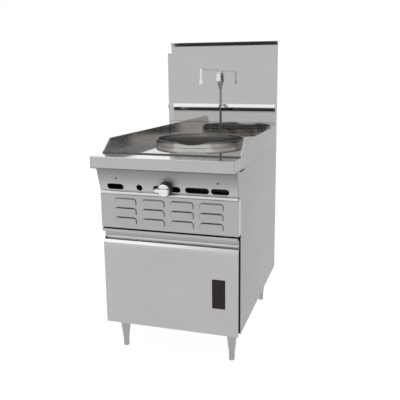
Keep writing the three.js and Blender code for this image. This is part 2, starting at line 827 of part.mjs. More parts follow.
function wokRing() {
  const base = deckHeight + clearance;
  const skirt = ringBore + ringSkirtWall;
  const ring = turnedZ(0, ringY, [
    [ringBore, base - ringSkirt], [skirt, base - ringSkirt], [skirt, base],
    [ringRadius, base], [ringRadius, base + ringHeight], [ringRadius - ringWall, base + ringHeight],
    [ringBore, base], [ringBore, base - ringSkirt],
  ], 64);
  const dipRadius = (dipWidth ** 2 / 4 + dipDepth ** 2) / (2 * dipDepth);
  const dip = rodY(0, base + ringHeight - dipDepth + dipRadius,
    ringY - ringRadius - 20, ringY - ringRadius + 60, dipRadius, 96);
  return cut(ring, dip);
}

function fireChamber() {
  const top = deckHeight - sheet - clearance;
  const inner = deckHoleRadius;
  const straight = top - ringSkirt - 2;
  const bottom = top - chamberHeight;
  return joined(turnedZ(0, ringY, [
    [inner, top], [inner, straight], [inner - chamberTaper, bottom],
    [inner - chamberTaper + chamberWall, bottom], [inner + chamberWall, straight],
    [inner + chamberWall, top - chamberFlangeHeight],
    [inner + chamberFlange, top - chamberFlangeHeight],
    [inner + chamberFlange, top], [inner, top],
  ], 48));
}

node('wok_deck', wokDeck(), polished());
sides.forEach(([label, side]) => node(`splash_${label}`, splashSide(side), polished()));
node('splash_back', box(-halfWidth + splashThickness + clearance,
  halfWidth - splashThickness - clearance, backSplashY, deckBack,
  deckHeight + clearance, deckHeight + backSplashHeight), polished());
node('wok_ring', wokRing(), polished());
node('fire_chamber', fireChamber(), castIron());

// ---------------------------------------------------------------- burner and gas

const inletBoxBottom = burnerTop - burnerHeight - inletBox + inletBoxOverlap;

function burnerHead() {
  const bottom = burnerTop - burnerHeight;
  const bowl = turnedZ(0, ringY, [
    [0, bottom], [burnerBaseRadius, bottom], [burnerRadius, burnerTop - burnerRim],
    [burnerRadius, burnerTop], [burnerRimInside, burnerTop],
    [burnerDishRadius, burnerTop - burnerDish], [0, burnerTop - burnerDish],
  ], 36);
  const half = inletBox / 2;
  return joined(bowl,
    box(-half, half, ringY - half, ringY + half, inletBoxBottom, bottom + 1));
}

function burnerStand() {
  const foot = burnerFloorZ + clearance;
  const top = inletBoxBottom - clearance;
  const pad = (width, z) => box(-width / 2, width / 2,
    ringY - standFootDepth / 2, ringY + standFootDepth / 2, z, z + standFootHeight);
  return joined(box(-standWidth / 2, standWidth / 2,
    ringY - standPlate / 2, ringY + standPlate / 2, foot + 1, top - 1),
  pad(standFootWidth, foot), pad(inletBox - standSeatInset, top - standFootHeight));
}

const valveFront = manifoldY - manifoldRadius;
const valveBack = valveFront + valveLength;

function venturi() {
  const z = axisZ;
  const start = valveBack + orificeLength - venturiLap;
  const end = ringY - inletBox / 2 - clearance;
  const outside = [
    [venturiRadius + venturiMouth, start],
    [venturiRadius + venturiMouth, start + venturiMouthLength],
    [venturiRadius - venturiThroat, start + venturiThroatAt],
    [venturiRadius, start + venturiStraightAt], [venturiRadius, end],
  ];
  const inside = outside.map(([r, y]) => [r - venturiWall, y]).reverse();
  return joined(turnedY(0, z, [...outside, ...inside, outside[0]], 24));
}

function manifold() {
  const tube = rodX(manifoldY, manifoldZ, manifoldLeft, manifoldRight, manifoldRadius, 20);
  const bore = rodX(manifoldY, manifoldZ, manifoldLeft + pipeWall, manifoldRight + 1,
    manifoldRadius - pipeWall, 20);
  return cut(tube, bore);
}

function manifoldBracket() {
  const foot = burnerFloorZ + clearance;
  const top = manifoldZ - manifoldRadius - clearance;
  const post = (x) => box(x - postWidth / 2, x + postWidth / 2,
    manifoldY - postThickness / 2, manifoldY + postThickness / 2, foot + 1, top);
  const left = manifoldLeft + postInset;
  const right = manifoldRight - postInset;
  const reach = postWidth / 2 + 1;
  return joined(box(left - reach, right + reach, manifoldY - bracketFootDepth / 2,
    manifoldY + bracketFootDepth / 2, foot, foot + bracketFootHeight), post(left), post(right));
}

function gasValve() {
  const z0 = axisZ - valveHeight / 2;
  const body = box(-valveHalfWidth, valveHalfWidth, valveFront, valveBack, z0, z0 + valveHeight);
  const spud = rodY(0, axisZ, valveBack - 1, valveBack + orificeLength,
    orificeRadius, 16, orificeTipRadius);
  const stemBore = rodY(0, axisZ, valveFront - 1, valveFront + stemInValve,
    stemRadius + clearance, 16);
  return cut(joined(body, spud), stemBore);
}

const pilotValveZ = manifoldZ + manifoldRadius + clearance;
const pilotX = lightingHoleX;
const pilotTipX = -pilotInset;
const pilotTipY = ringY - pilotInset;
const pilotTipZ = burnerTop - pilotDrop - pilotBurnerHeight;

function pilotValve() {
  const half = pilotValveWidth / 2;
  const front = manifoldY - pilotValveFront;
  return joined(box(pilotX - half, pilotX + half, front, manifoldY + pilotValveBack,
    pilotValveZ, pilotValveZ + pilotValveHeight),
  rodY(pilotX, pilotValveZ + pilotOutletHeight, front - pilotValveFront, front + 1,
    pilotScrewRadius, 12));
}

function pilotTube() {
  const z = pilotValveZ + pilotOutletHeight;
  const start = manifoldY + pilotValveBack + clearance;
  const low = pilotTipZ - clearance - pilotTubeRise;
  return pipe([[pilotX, start, z], [pilotX, start + pilotTubeLead, z],
    [pilotTipX, pilotTipY - pilotTubeRun, low], [pilotTipX, pilotTipY, low],
    [pilotTipX, pilotTipY, pilotTipZ - clearance]],
  pilotTubeBend, pilotTubeRadius, { sides: 8 });
}

node('burner_head', burnerHead(), castIron());
node('burner_stand', burnerStand(), galvanised());
node('burner_venturi', venturi(), castIron());
node('gas_manifold', manifold(), blackIron());
node('manifold_bracket', manifoldBracket(), galvanised());
node('gas_supply_pipe', pipe([
  [manifoldRight + clearance, manifoldY, manifoldZ], [supplyX, manifoldY, manifoldZ],
  [supplyX, bodyDepth + tabReach, manifoldZ],
], pipeBend, manifoldRadius, { wall: pipeWall, sides: 16 }), blackIron());
node('gas_valve', gasValve(), brass());
node('pilot_valve', pilotValve(), brass());
node('pilot_tube', pilotTube(), steel(0xb9a58a, 0.35));
node('pilot_burner', rodZ(pilotTipX, pilotTipY, pilotTipZ, pilotTipZ + pilotBurnerHeight,
  pilotBurnerRadius, 16, pilotBurnerRadius - 2), brass());

// ---------------------------------------------------------------- knob

function knobFace() {
  const back = knobFaceY + knobFaceDepth;
  const disc = turnedY(0, axisZ, [
    [0, knobFaceY - knobCrown], [knobRadius - knobEdge, knobFaceY],
    [knobRadius, knobFaceY + knobEdge], [knobRadius, back], [0, back],
  ], 40);
  const grip = slabY([
    ...arc(-gripLeft + gripWidth / 2, axisZ, gripWidth / 2, 90, 270, 8),
    [gripRight, axisZ - gripWidth / 2], [gripRight, axisZ + gripWidth / 2],
  ], knobFaceY - gripHeight, knobFaceY + knobEdge);
  return joined(disc, grip);
}

function knobSkirt() {
  const front = knobFaceY + knobFaceDepth + clearance;
  const hub = skirtRadius - skirtRim;
  return turnedY(0, axisZ, [
    [stemRadius + clearance, front], [hub, front], [hub, skirtBackY - skirtThickness],
    [skirtRadius, skirtBackY - skirtThickness + 1], [skirtRadius, skirtBackY],
    [stemRadius + clearance, skirtBackY], [stemRadius + clearance, front],
  ], 40);
}

node('control_knob', knobFace(), chrome());
node('knob_skirt', joined(knobSkirt()), blackPlastic());
node('valve_stem', rodY(0, axisZ, knobFaceY + knobFaceDepth + 2 * clearance,
  valveFront + stemInValve - 1, stemRadius, 16), brass());

// ---------------------------------------------------------------- door

const pinX = doorLeft + hingeX;
const lipTop = doorFaceTop + pullLipHeight;
const pullFloor = doorFaceTop + pullFloorRise;
const noseBottom = doorTop - pullNoseHeight;
const pullStepZ = noseBottom - pullNoseSlope - pullUpperHeight;

function doorSkin() {
  const back = doorFaceY + doorReturn;
  const path = [
    [doorFaceY + pullLipDepth + pullLipTurn / 2, lipTop - pullLipTurn],
    [doorFaceY + pullLipDepth, lipTop], [doorFaceY, doorFaceTop], [doorFaceY, doorBottom],
    [hingeY + 2 * pinRadius, doorBottom],
  ];
  const face = foldedSheet(path, doorLeft, doorRight);
  const [, lip, top, bottom] = middleLine(path);
  const channelBack = doorFaceY + pullLowerDepth - clearance;
  const edge = [lip, top, bottom, [back, bottom[1]], [back, pullFloor + clearance],
    [channelBack, pullFloor + clearance], [channelBack, pullStepZ - pullStep - clearance]];
  const hole = rodZ(pinX, hingeY, doorBottom - 5, doorBottom + 5, pinRadius + clearance, 16);
  return cut(joined(face, slabX(edge, doorLeft, doorLeft + sheet),
    slabX(edge, doorRight - sheet, doorRight)), hole);
}

// The full width pull: a nose along the top with a finger channel under it.
function doorPull() {
  const nose = doorFaceY - pullNose;
  const upper = doorFaceY + pullUpperDepth;
  const lower = doorFaceY + pullLowerDepth;
  const sheetPath = [
    [lower - 1, doorTop], [nose, doorTop], [nose, noseBottom],
    [upper, noseBottom - pullNoseSlope], [upper, pullStepZ], [lower, pullStepZ - pullStep],
    [lower, pullFloor], [doorFaceY + doorReturn + 1, pullFloor],
  ];
  const hole = rodZ(pinX, hingeY, doorTop - 5, doorTop + 5, pinRadius + clearance, 16);
  return cut(foldedSheet(sheetPath, doorLeft, doorRight), hole);
}

function doorLiner() {
  const x0 = doorLeft + sheet + clearance;
  const x1 = doorRight - sheet - clearance;
  const z0 = doorBottom + sheet + clearance;
  const z1 = doorFaceTop - sheet;
  const y0 = doorFaceY + doorReturn - sheet - clearance;
  const y1 = y0 + sheet;
  const back = y1 + linerDepth;
  const plate = box(x0, x1, y0, y1, z0, z1);
  const pan = box(x0 + linerInset, x1 - linerInset, y0, back, z0 + linerInset, z1 - linerInset);
  const hollow = box(x0 + linerInset + sheet, x1 - linerInset - sheet, y0 - 1, back - sheet,
    z0 + linerInset + sheet, z1 - linerInset - sheet);
  return cut(joined(plate, pan), hollow);
}

function hingeBracket(z0, z1, pin0, pin1) {
  const plate = box(-halfWidth, -halfWidth + hingePlate, hingeY - hingePlateFront,
    cabinetSetback - clearance, z0, z1);
  return joined(plate, rodZ(pinX, hingeY, pin0, pin1, pinRadius, 16));
}

function doorCatch() {
  const x1 = halfWidth - sheet - framePost - clearance;
  const linerBack = doorFaceY + doorReturn - clearance + linerDepth;
  const middle = (doorBottom + doorFaceTop) / 2;
  return box(x1 - catchWidth, x1, linerBack + 2 * clearance, fitFront + frameDepth,
    middle - catchHeight / 2, middle + catchHeight / 2);
}

node('door_skin', doorSkin(), brushed());
node('door_pull', doorPull(), brushed());
node('door_liner', doorLiner(), galvanised());
const plateX = halfWidth - plateInset;
node('blank_plate', box(plateX - plateWidth / 2, plateX + plateWidth / 2,
  doorFaceY - clearance - sheet, doorFaceY - clearance,
  doorFaceTop - plateDrop - plateHeight / 2, doorFaceTop - plateDrop + plateHeight / 2),
darkEnamel());
const lowerPlateTop = doorBottom - clearance;
node('door_hinge_lower', hingeBracket(lowerPlateTop - hingePlateThickness, lowerPlateTop,
  lowerPlateTop - hingePlateThickness / 2, lowerPlateTop + pinDepthLower), galvanised());
const upperPlateBottom = doorTop + clearance;
node('door_hinge_upper', hingeBracket(upperPlateBottom, upperPlateBottom + hingePlateThickness,
  doorTop - pinDepthUpper, upperPlateBottom + hingePlateThickness / 2), galvanised());
node('door_catch', doorCatch(), blackPlastic());

// ---------------------------------------------------------------- backguard

const ridgeBottom = deckHeight + lowerPanelHeight;
const ridgeTip = ridgeBottom + ridgeHeight / 2;
const tipY = wallY - ridgeReach;

// Both panels of the ridge leave room for the riser that runs up the wall.
function riserNotch() {
  const half = riserRadius + ridgeNotch;
  return box(-half, half, tipY - 2, wallY, ridgeBottom - 2, ridgeBottom + ridgeHeight + 2);
}

function backguardLower() {
  return cut(foldedSheet([[tipY, ridgeTip], [wallY, ridgeBottom], [wallY, ledgeZ - lowerPanelLap]],
    -halfWidth, halfWidth), riserNotch());
}

function backguardUpper() {
  return cut(foldedSheet([
    [wallY + panelFlange, frontBoxTop], [wallY, frontBoxTop],
    [wallY, ridgeBottom + ridgeHeight], [tipY + sheet, ridgeTip + 1.6 * sheet],
  ], -halfWidth, halfWidth), riserNotch());
}

function backguardSide(side) {
  const front = wallY + sheet + clearance;
  const top = frontBoxTop - clearance - sheet;
  const outer = mirroredBox(side, halfWidth - sheet, halfWidth,
    front + sheet / 2, backInner - sheet / 2, railBottom, top);
  const fold = (y) => mirroredBox(side, halfWidth - panelFlange, halfWidth - sheet / 2,
    y, y + sheet, railBottom + sheet / 2, top - sheet / 2);
  return joined(outer, fold(front), fold(backInner - sheet));
}

function backguardRear() {
  const bend = frontBoxTop + rearPanelRise;
  const bottom = rearSeamZ + clearance;
  const panel = foldedSheet([[bodyDepth, bottom], [bodyDepth, bend],
    [bodyDepth - flareReach, bend + flareHeight]], -halfWidth, halfWidth);
  const tab = (side) => mirroredBox(side, halfWidth - tabWidth, halfWidth,
    bodyDepth - sheet / 2, bodyDepth + tabReach, bottom + tabRise, bottom + tabRise + tabHeight);
  return joined(panel, tab(-1), tab(1));
}

node('backguard_lower_panel', backguardLower(), brushed());
node('backguard_upper_panel', backguardUpper(), brushed());
node('backguard_rear_panel', backguardRear(), brushed());
sides.forEach(([label, side]) => node(`backguard_side_${label}`, backguardSide(side), brushed()));

// ---------------------------------------------------------------- water

const bracketBottom = faucetBottom - bracketHeight;

function faucetRiser() {
  const base = deckHeight + clearance;
  return joined(rodZ(0, riserY, rearSeamZ, bracketBottom - clearance, riserRadius, 12),
    rodZ(0, riserY, base, base + riserNutHeight, riserNutRadius, 6));
}

function faucetBracket() {
  const back = wallY - clearance;
  const front = faucetY - bracketFront;
  const top = faucetBottom - clearance;
  return slabX([[back, top], [front, top], [front, top - bracketPlate],
    [riserY - riserRadius, bracketBottom], [back, bracketBottom]],
  -bracketThickness / 2, bracketThickness / 2);
}

function faucetBody() {
  const half = faucetBodyWidth / 2;
  const flat = half - faucetBevel;
  const plan = [[-half, -flat], [-flat, -half], [flat, -half], [half, -flat], [half, flat],
    [flat, half], [-flat, half], [-half, flat]];
  return extruded(outline(plan), faucetTop - faucetBottom).translate(0, faucetY, faucetBottom);
}

// The nut that holds the swinging spout down on the faucet body.
function spoutCollar() {
  const bore = spoutRadius + clearance;
  const bottom = faucetTop + clearance;
  const top = bottom + collarHeight;
  return joined(turnedZ(0, faucetY, [
    [bore, bottom], [collarRadius, bottom], [collarRadius, top - collarChamfer],
    [collarRadius - collarChamfer, top], [bore, top], [bore, bottom],
  ], 24));
}

function spout() {
  return pipe([[0, faucetY, faucetTop + clearance], [0, faucetY, spoutZ],
    [0, faucetY - spoutReach, spoutZ], [0, faucetY - spoutReach, spoutZ - spoutDrop]],
  spoutBend, spoutRadius, { wall: spoutWall });
}

function nozzle() {
  const top = spoutZ - spoutDrop - clearance;
  const bottom = top - nozzleHeight;
  return joined(turnedZ(0, faucetY - spoutReach, [
    [nozzleBore, bottom], [nozzleRadius - 2, bottom], [nozzleRadius, bottom + 2],
    [nozzleRadius, top - nozzleShoulder], [nozzleRadius - nozzleShoulder / 2, top],
    [nozzleBore, top], [nozzleBore, bottom],
  ], 24));
}

const leverZ = faucetTop - leverDrop;

// A stub on the back of the faucet body, with a flat handle that hangs down beside the axis.
function lever() {
  const back = faucetY + faucetBodyWidth / 2 + clearance;
  const front = back + leverStub;
  const handle = slabY([...arc(0, 0, leverWidth / 2, 0, 180, 6),
    ...arc(0, -leverLength, leverWidth / 2, 180, 360, 6)], front, front + leverThickness);
  handle.rotateY(-THREE.MathUtils.degToRad(leverLean)).translate(0, 0, leverZ);
  return joined(rodY(0, leverZ, back, front + 1, leverStubRadius, 16), handle);
}

function waterTube() {
  const z = waterInletZ;
  const turnY = wallY + backguardDepth / 2;
  return pipe([[waterInletX, bodyDepth - waterInletLength - clearance, z], [waterInletX, turnY, z],
    [0, turnY, z], [0, riserY, z], [0, riserY, rearSeamZ - clearance]],
  waterTubeBend, waterTubeRadius, { sides: 10 });
}

node('water_inlet', rodY(waterInletX, waterInletZ, bodyDepth - waterInletLength,
  bodyDepth + tabReach, waterPipeRadius, 20), brass());
node('water_tube', waterTube(), steel(0xb0714a, 0.35));
node('faucet_riser', faucetRiser(), polished());
node('faucet_bracket', faucetBracket(), chrome());
node('faucet_body', faucetBody(), chrome());
node('spout_collar', spoutCollar(), chrome());
node('faucet_spout', spout(), chrome());
node('spout_nozzle', nozzle(), chrome());
node('faucet_lever', lever(), chrome());

// ---------------------------------------------------------------- whole range

const wokRange = new THREE.Group();
assembly.position.y = -(bodyDepth + tabReach) / 2;
wokRange.add(assembly);

export default wokRange;
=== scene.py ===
import json
import math

import bpy
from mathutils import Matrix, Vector

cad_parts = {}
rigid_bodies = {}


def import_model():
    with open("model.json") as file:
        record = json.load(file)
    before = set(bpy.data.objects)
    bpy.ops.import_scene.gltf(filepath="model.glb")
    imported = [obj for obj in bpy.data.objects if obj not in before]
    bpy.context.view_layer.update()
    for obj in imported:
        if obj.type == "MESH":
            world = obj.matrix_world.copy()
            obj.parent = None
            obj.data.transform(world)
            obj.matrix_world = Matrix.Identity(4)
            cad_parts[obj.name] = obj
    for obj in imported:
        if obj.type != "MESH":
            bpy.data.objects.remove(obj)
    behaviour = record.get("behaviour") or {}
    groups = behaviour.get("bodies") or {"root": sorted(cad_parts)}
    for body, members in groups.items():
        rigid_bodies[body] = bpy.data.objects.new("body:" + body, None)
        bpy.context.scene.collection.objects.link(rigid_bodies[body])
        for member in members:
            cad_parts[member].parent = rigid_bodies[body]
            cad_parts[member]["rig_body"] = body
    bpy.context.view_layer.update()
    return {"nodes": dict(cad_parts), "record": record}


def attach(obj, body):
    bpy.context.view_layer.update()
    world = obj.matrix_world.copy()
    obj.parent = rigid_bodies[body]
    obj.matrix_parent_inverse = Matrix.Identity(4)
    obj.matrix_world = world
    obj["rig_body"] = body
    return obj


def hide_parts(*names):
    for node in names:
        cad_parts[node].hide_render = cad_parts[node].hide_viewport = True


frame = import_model()
nodes = frame["nodes"]
print("frame loaded:", len(nodes), "nodes")

mm = 0.001
railFaceY = -0.487  # the rail's face in the frame, metres
ringMiddle = (0, 530)  # mm, as place takes them
sameCorner = 0.01  # mm, corners nearer than this are one
rimWidth = 4  # mm, a narrower face is the rim of a sheet
foldAngle = 25  # degrees, a flatter edge stays sharp


def place(x, y, z):
    # mm: x from the middle, y back from the rail's face, z up from the floor
    return Vector((x * mm, y * mm + railFaceY, z * mm))


class Wire:
    # a number, colour or vector on its way through a material

    def __init__(self, recipe, socket):
        self.recipe = recipe
        self.socket = socket

    def numbers(self, operation, first, second):
        return self.recipe.make("ShaderNodeMath", {"operation": operation}, {0: first, 1: second})

    def __add__(self, other):
        return self.numbers("ADD", self, other)

    def __radd__(self, other):
        return self.numbers("ADD", other, self)

    def __sub__(self, other):
        return self.numbers("SUBTRACT", self, other)

    def __rsub__(self, other):
        return self.numbers("SUBTRACT", other, self)

    def __mul__(self, other):
        return self.numbers("MULTIPLY", self, other)

    def __rmul__(self, other):
        return self.numbers("MULTIPLY", other, self)


class Recipe:
    # one material and its nodes

    def __init__(self, name):
        self.material = bpy.data.materials.new(name)
        self.material.use_nodes = True
        self.tree = self.material.node_tree
        self.surface = self.tree.nodes["Principled BSDF"]

    def make(self, kind, settings=None, inputs=None, output=0):
        node = self.tree.nodes.new(kind)
        for key, value in (settings or {}).items():
            setattr(node, key, value)
        for key, value in (inputs or {}).items():
            self.feed(node.inputs[key], value)
        return Wire(self, node.outputs[output])

    def feed(self, socket, value):
        if isinstance(value, Wire):
            self.tree.links.new(value.socket, socket)
        else:
            socket.default_value = value

    def mixed(self, factor, first, second, blend="MIX"):
        inputs = {"Factor": factor, 6: first, 7: second}
        settings = {"data_type": "RGBA", "blend_type": blend}
        return self.make("ShaderNodeMix", settings, inputs, output=2)

    def stretched(self, scale):
        where = self.make("ShaderNodeTexCoord", output="Object")
        return self.make("ShaderNodeMapping", inputs={"Vector": where, "Scale": scale})

    def noise(self, where, scale, detail=2.0, roughness=0.5):
        inputs = {"Vector": where, "Scale": scale, "Detail": detail, "Roughness": roughness}
        return self.make("ShaderNodeTexNoise", inputs=inputs, output="Fac")

    def remapped(self, value, low, high, newLow, newHigh):
        inputs = {"Value": value, 1: low, 2: high, 3: newLow, 4: newHigh}
        return self.make("ShaderNodeMapRange", inputs=inputs)

    def bumped(self, height, strength, distance):
        inputs = {"Height": height, "Strength": strength, "Distance": distance * mm}
        return self.make("ShaderNodeBump", inputs=inputs)

    def byPlace(self, axis, levels):
        # pairs of a place in mm along one axis and the value there, joined by straight slopes
        where = self.make("ShaderNodeTexCoord", output="Object")
        spot = self.make("ShaderNodeSeparateXYZ", inputs={"Vector": where}, output=axis)
        low, high = levels[0][0], levels[-1][0]
        shift = railFaceY if axis == "Y" else 0.0
        along = self.remapped(spot, low * mm + shift, high * mm + shift, 0.0, 1.0)
        ramp = self.make("ShaderNodeValToRGB", inputs={"Fac": along})
        stops = ramp.socket.node.color_ramp.elements
        while len(stops) < len(levels):
            stops.new(0.5)
        for stop, (level, value) in zip(stops, levels):
            stop.position = (level - low) / (high - low)
            stop.color = (value, value, value, 1.0)
        return ramp

    def finish(self, **sockets):
        for name, value in sockets.items():
            self.feed(self.surface.inputs[name.replace("_", " ")], value)
        return self.material


def grey(value, warmth=0.0):
    return (value * (1 + warmth), value, value * (1 - warmth), 1.0)


sheetLook = {
    "cloudScale": 5.0,
    "wipeScale": 1.6,
    "wipeStretch": (3.0, 3.0, 9.0),
    "lineShare": 0.4,  # of the lines in the brightness, where clouds have the rest
    "wipeShare": 0.7,  # of the wipes in the roughness, where lines have the rest
    "spread": 0.14,  # of the brightness, at full wear
    "lineHeight": 0.03,  # mm
}


def sheetSteel(name, tone, roughness, grain, warmth=0.01, depth=0.03, wear=0.25,
               paintedLightAndShade=(), dullness=(), paintedWhere=None, outlines=None):
    # rolled or brushed stainless: fine lines one way, soft cloudiness and a few faint wipes;
    # by place, painted light and shade change its brightness only where their mask is 1, painted
    # shade lines are multiplied in, and dullness changes its roughness
    s = sheetLook
    recipe = Recipe(name)
    lines = recipe.noise(recipe.stretched(grain), 1.0, detail=3.0, roughness=0.6)
    clouds = recipe.noise(recipe.stretched((1, 1, 1)), s["cloudScale"], detail=3.0)
    wipes = recipe.noise(recipe.stretched(s["wipeStretch"]), s["wipeScale"], detail=4.0,
                         roughness=0.65)
    bright = lines * s["lineShare"] + clouds * (1 - s["lineShare"])
    shade = recipe.remapped(bright, 0.3, 0.7, 0.0, 1.0)
    spread = wear * s["spread"]
    color = recipe.mixed(shade, grey(tone * (1 - spread), warmth),
                         grey(tone * (1 + spread), warmth))
    # the mask and the bands of painted light and shade, multiplied into the colour
    amount = recipe.byPlace(*paintedWhere) if paintedWhere else 1.0
    for axis, levels in paintedLightAndShade:
        color = recipe.mixed(amount, color, recipe.byPlace(axis, levels), blend="MULTIPLY")
    # painted shade lines, multiplied in
    if outlines:
        color = recipe.mixed(1.0, color, outlines(recipe), blend="MULTIPLY")
    worn = lines * (1 - s["wipeShare"]) + wipes * s["wipeShare"]
    rough = recipe.remapped(worn, 0.3, 0.7, roughness * (1 - wear), roughness * (1 + wear))
    for axis, levels in dullness:
        rough = rough * recipe.byPlace(axis, levels)
    return recipe.finish(
        Base_Color=color,
        Metallic=1.0,
        Roughness=rough,
        Normal=recipe.bumped(lines, depth, s["lineHeight"]),
    )


grainAlongX = (4.0, 900.0, 900.0)
grainAlongY = (900.0, 4.0, 900.0)
grainAlongZ = (900.0, 900.0, 4.0)

outside = [(-304.6, 1.0), (-304.4, 0.0), (304.4, 0.0), (304.6, 1.0)]


def towardsOutside(inner, outer):
    # one value between the sides, another on the faces that make up the sides
    return ("X", [(x, inner + (outer - inner) * share) for x, share in outside])


louvreShape = {
    "pitchX": 127,
    "half": 50.5,
    "pitchZ": 41.4,
    "top": 726.7,
    "height": 29,
    "corner": 16,
    "columns": 4,
    "rows": 3,
    "line": 2.2,
    "darkness": 0.55,
    "above": 5,
}


def louvreCreaseShade(recipe):
    # painted shade: a dark line around each louvre where it rises from the sheet, open at its lower
    # edge
    s = louvreShape
    where = recipe.make("ShaderNodeTexCoord", output="Object")
    x = recipe.make("ShaderNodeSeparateXYZ", inputs={"Vector": where}, output="X") * 1000.0
    z = recipe.make("ShaderNodeSeparateXYZ", inputs={"Vector": where}, output="Z") * 1000.0
    middle = s["pitchX"] / 2
    across = recipe.remapped(x.numbers("PINGPONG", x, middle), 0, middle, middle, 0)
    start = s["top"] + s["above"] + s["pitchZ"]
    down = recipe.remapped(z, 0, start, start, 0)
    down = down.numbers("MODULO", down, s["pitchZ"]) - s["above"]
    besides = across - (s["half"] - s["corner"])
    besides = besides.numbers("MAXIMUM", besides, 0.0)
    above = s["corner"] - down
    above = above.numbers("MAXIMUM", above, 0.0)
    reach = besides * besides + above * above
    reach = reach.numbers("SQRT", reach, 0.0) - s["corner"]
    reach = reach.numbers("ABSOLUTE", reach, 0.0)
    line = recipe.remapped(reach, 0.4, s["line"], s["darkness"], 1.0)
    under = recipe.remapped(down, s["height"] - 1, s["height"], 0.0, 1.0)
    edge = s["columns"] * middle
    beyond = recipe.remapped(x.numbers("ABSOLUTE", x, 0.0), edge - 1, edge, 0.0, 1.0)
    floor = s["top"] - s["rows"] * s["pitchZ"] + s["above"]
    below = recipe.remapped(z, floor, floor + 1, 1.0, 0.0)
    beyond = beyond.numbers("MAXIMUM", beyond, below)
    return line.numbers("MAXIMUM", line, under.numbers("MAXIMUM", under, beyond))


# painted highlight: a brighter band on the door skin just under the pull
frontSteel = sheetSteel("frontSteel", 0.445, 0.24, grainAlongX, paintedLightAndShade=[
    ("Z", [(505, 1.0), (524, 1.12), (532, 1.15), (545, 1.0)])])
# painted shade along the rail's lower edge and on its end faces, and a painted highlight on its top
# edge; dullness only changes roughness
railSteel = sheetSteel("railSteel", 0.445, 0.24, grainAlongX, paintedLightAndShade=[
    ("Z", [(861, 0.25), (864, 0.3), (867, 1.0), (911, 1.0), (911.7, 1.85)]),
    towardsOutside(1.0, 0.57)], dullness=[("Z", [(910.8, 1.0), (911.7, 0.45)])])
# painted shade growing towards the top, under the rail, and a painted highlight on the lower lip
panelSteel = sheetSteel("panelSteel", 0.45, 0.42, grainAlongX, paintedLightAndShade=[("Z", [
    (738, 1.25), (752, 1.4), (760, 1.12), (785, 0.95), (812, 0.74), (835, 0.6),
    (853, 0.5), (857, 0.25), (862, 0.2)])])
# painted shade lines around the louvres' creases
louvreSteel = sheetSteel("louvreSteel", 0.4, 0.26, grainAlongX, outlines=louvreCreaseShade)
# painted light in the trough, painted shade in the recess under the upper lip, and a near-black top
# face as painted shade
pullSteel = sheetSteel("pullSteel", 0.44, 0.28, grainAlongX, paintedLightAndShade=[("Z", [
    (522, 1.35), (546, 1.35), (551, 0.95), (555, 0.75), (566, 0.8), (574, 0.95),
    (584.6, 1.0), (585.6, 0.04)])])
# painted shade: a darker tone than the front steel for the faces that look sideways, and darker
# still on the inner faces
sideSteel = sheetSteel("sideSteel", 0.275, 0.34, grainAlongY, depth=0.006, wear=0.08,
                       paintedLightAndShade=[towardsOutside(0.35, 1.0)])
# painted shade: a darker tone than the front steel for the faces that look sideways
guardSteel = sheetSteel("guardSteel", 0.31, 0.32, grainAlongZ, depth=0.006, wear=0.1)
# painted shade under the ledge's lip and a painted highlight on the sloped ledge above it, left out
# at the left end
wallSteel = sheetSteel("wallSteel", 0.465, 0.035, grainAlongX, depth=0.003, wear=0.15,
                       paintedLightAndShade=[("Z", [(1040, 0.88), (1050, 0.5), (1066, 0.48), (1068, 1.85),
                                     (1084, 1.8), (1089, 1.0)])],
                       paintedWhere=("X", [(-276, 0.0), (-272, 1.0)]))
# painted shade on the flared top strip and a painted highlight at its edge, left out at the left
# end; dullness only changes roughness
rearSteel = sheetSteel("rearSteel", 0.46, 0.12, grainAlongX, depth=0.004, wear=0.08,
                       paintedLightAndShade=[("Z", [(1398, 1.0), (1404, 0.78), (1418, 0.78), (1424, 1.6)])],
                       dullness=[("Z", [(1398, 0.8), (1404, 3.0), (1424, 3.0)])],
                       paintedWhere=("X", [(-287, 0.0), (-284, 1.0)]))
# painted shade on the front bead and on the faces that look sideways
deckSteel = sheetSteel("deckSteel", 0.54, 0.045, grainAlongX, warmth=0.02, depth=0.0015, wear=0.15,
                       paintedLightAndShade=[("Y", [(110, 0.2), (114.9, 0.2), (116.6, 1.0)]),
                              towardsOutside(1.0, 0.5)])
# painted shadow along the back splash's top edge and painted shade in its left corner
seamShadowSteel = sheetSteel("seamShadowSteel", 0.5, 0.045, grainAlongX, warmth=0.02, depth=0.0015, wear=0.15,
                       paintedLightAndShade=[("Z", [(985.5, 1.0), (987.8, 0.3), (990, 0.3)]),
                              ("X", [(-300.5, 0.3), (-298, 1.0)])])
# painted shade on the outer faces and a painted highlight on the right splash's top edge; dullness
# only changes roughness
splashSteel = sheetSteel("splashSteel", 0.5, 0.22, grainAlongY, warmth=0.02, depth=0.005, wear=0.12,
                         paintedLightAndShade=[("X", [(-304.6, 0.55), (-304.4, 1.0), (301.2, 1.0), (301.5, 1.6),
                                       (304.3, 1.6), (304.6, 0.55)])],
                         dullness=[towardsOutside(1.0, 1.5)])
# painted shade, darker towards the ring's top edge and inner rim
ringSteel = sheetSteel("ringSteel", 0.6, 0.2, grainAlongX, warmth=0.015, depth=0.002, wear=0.1,
                       paintedLightAndShade=[("Z", [(929, 1.0), (934, 0.5), (938, 0.3), (941, 0.3)])])
# painted shade, darker low down towards the deck
riserSteel = sheetSteel("riserSteel", 0.27, 0.3, grainAlongZ, depth=0.004, wear=0.1, paintedLightAndShade=[
    ("Z", [(900, 0.35), (1045, 0.4), (1080, 0.95), (1170, 1.0)])])
legSteel = sheetSteel("legSteel", 0.35, 0.26, grainAlongZ)
galvanised = sheetSteel("galvanised", 0.36, 0.4, (60.0, 60.0, 60.0), warmth=-0.01, depth=0.05)


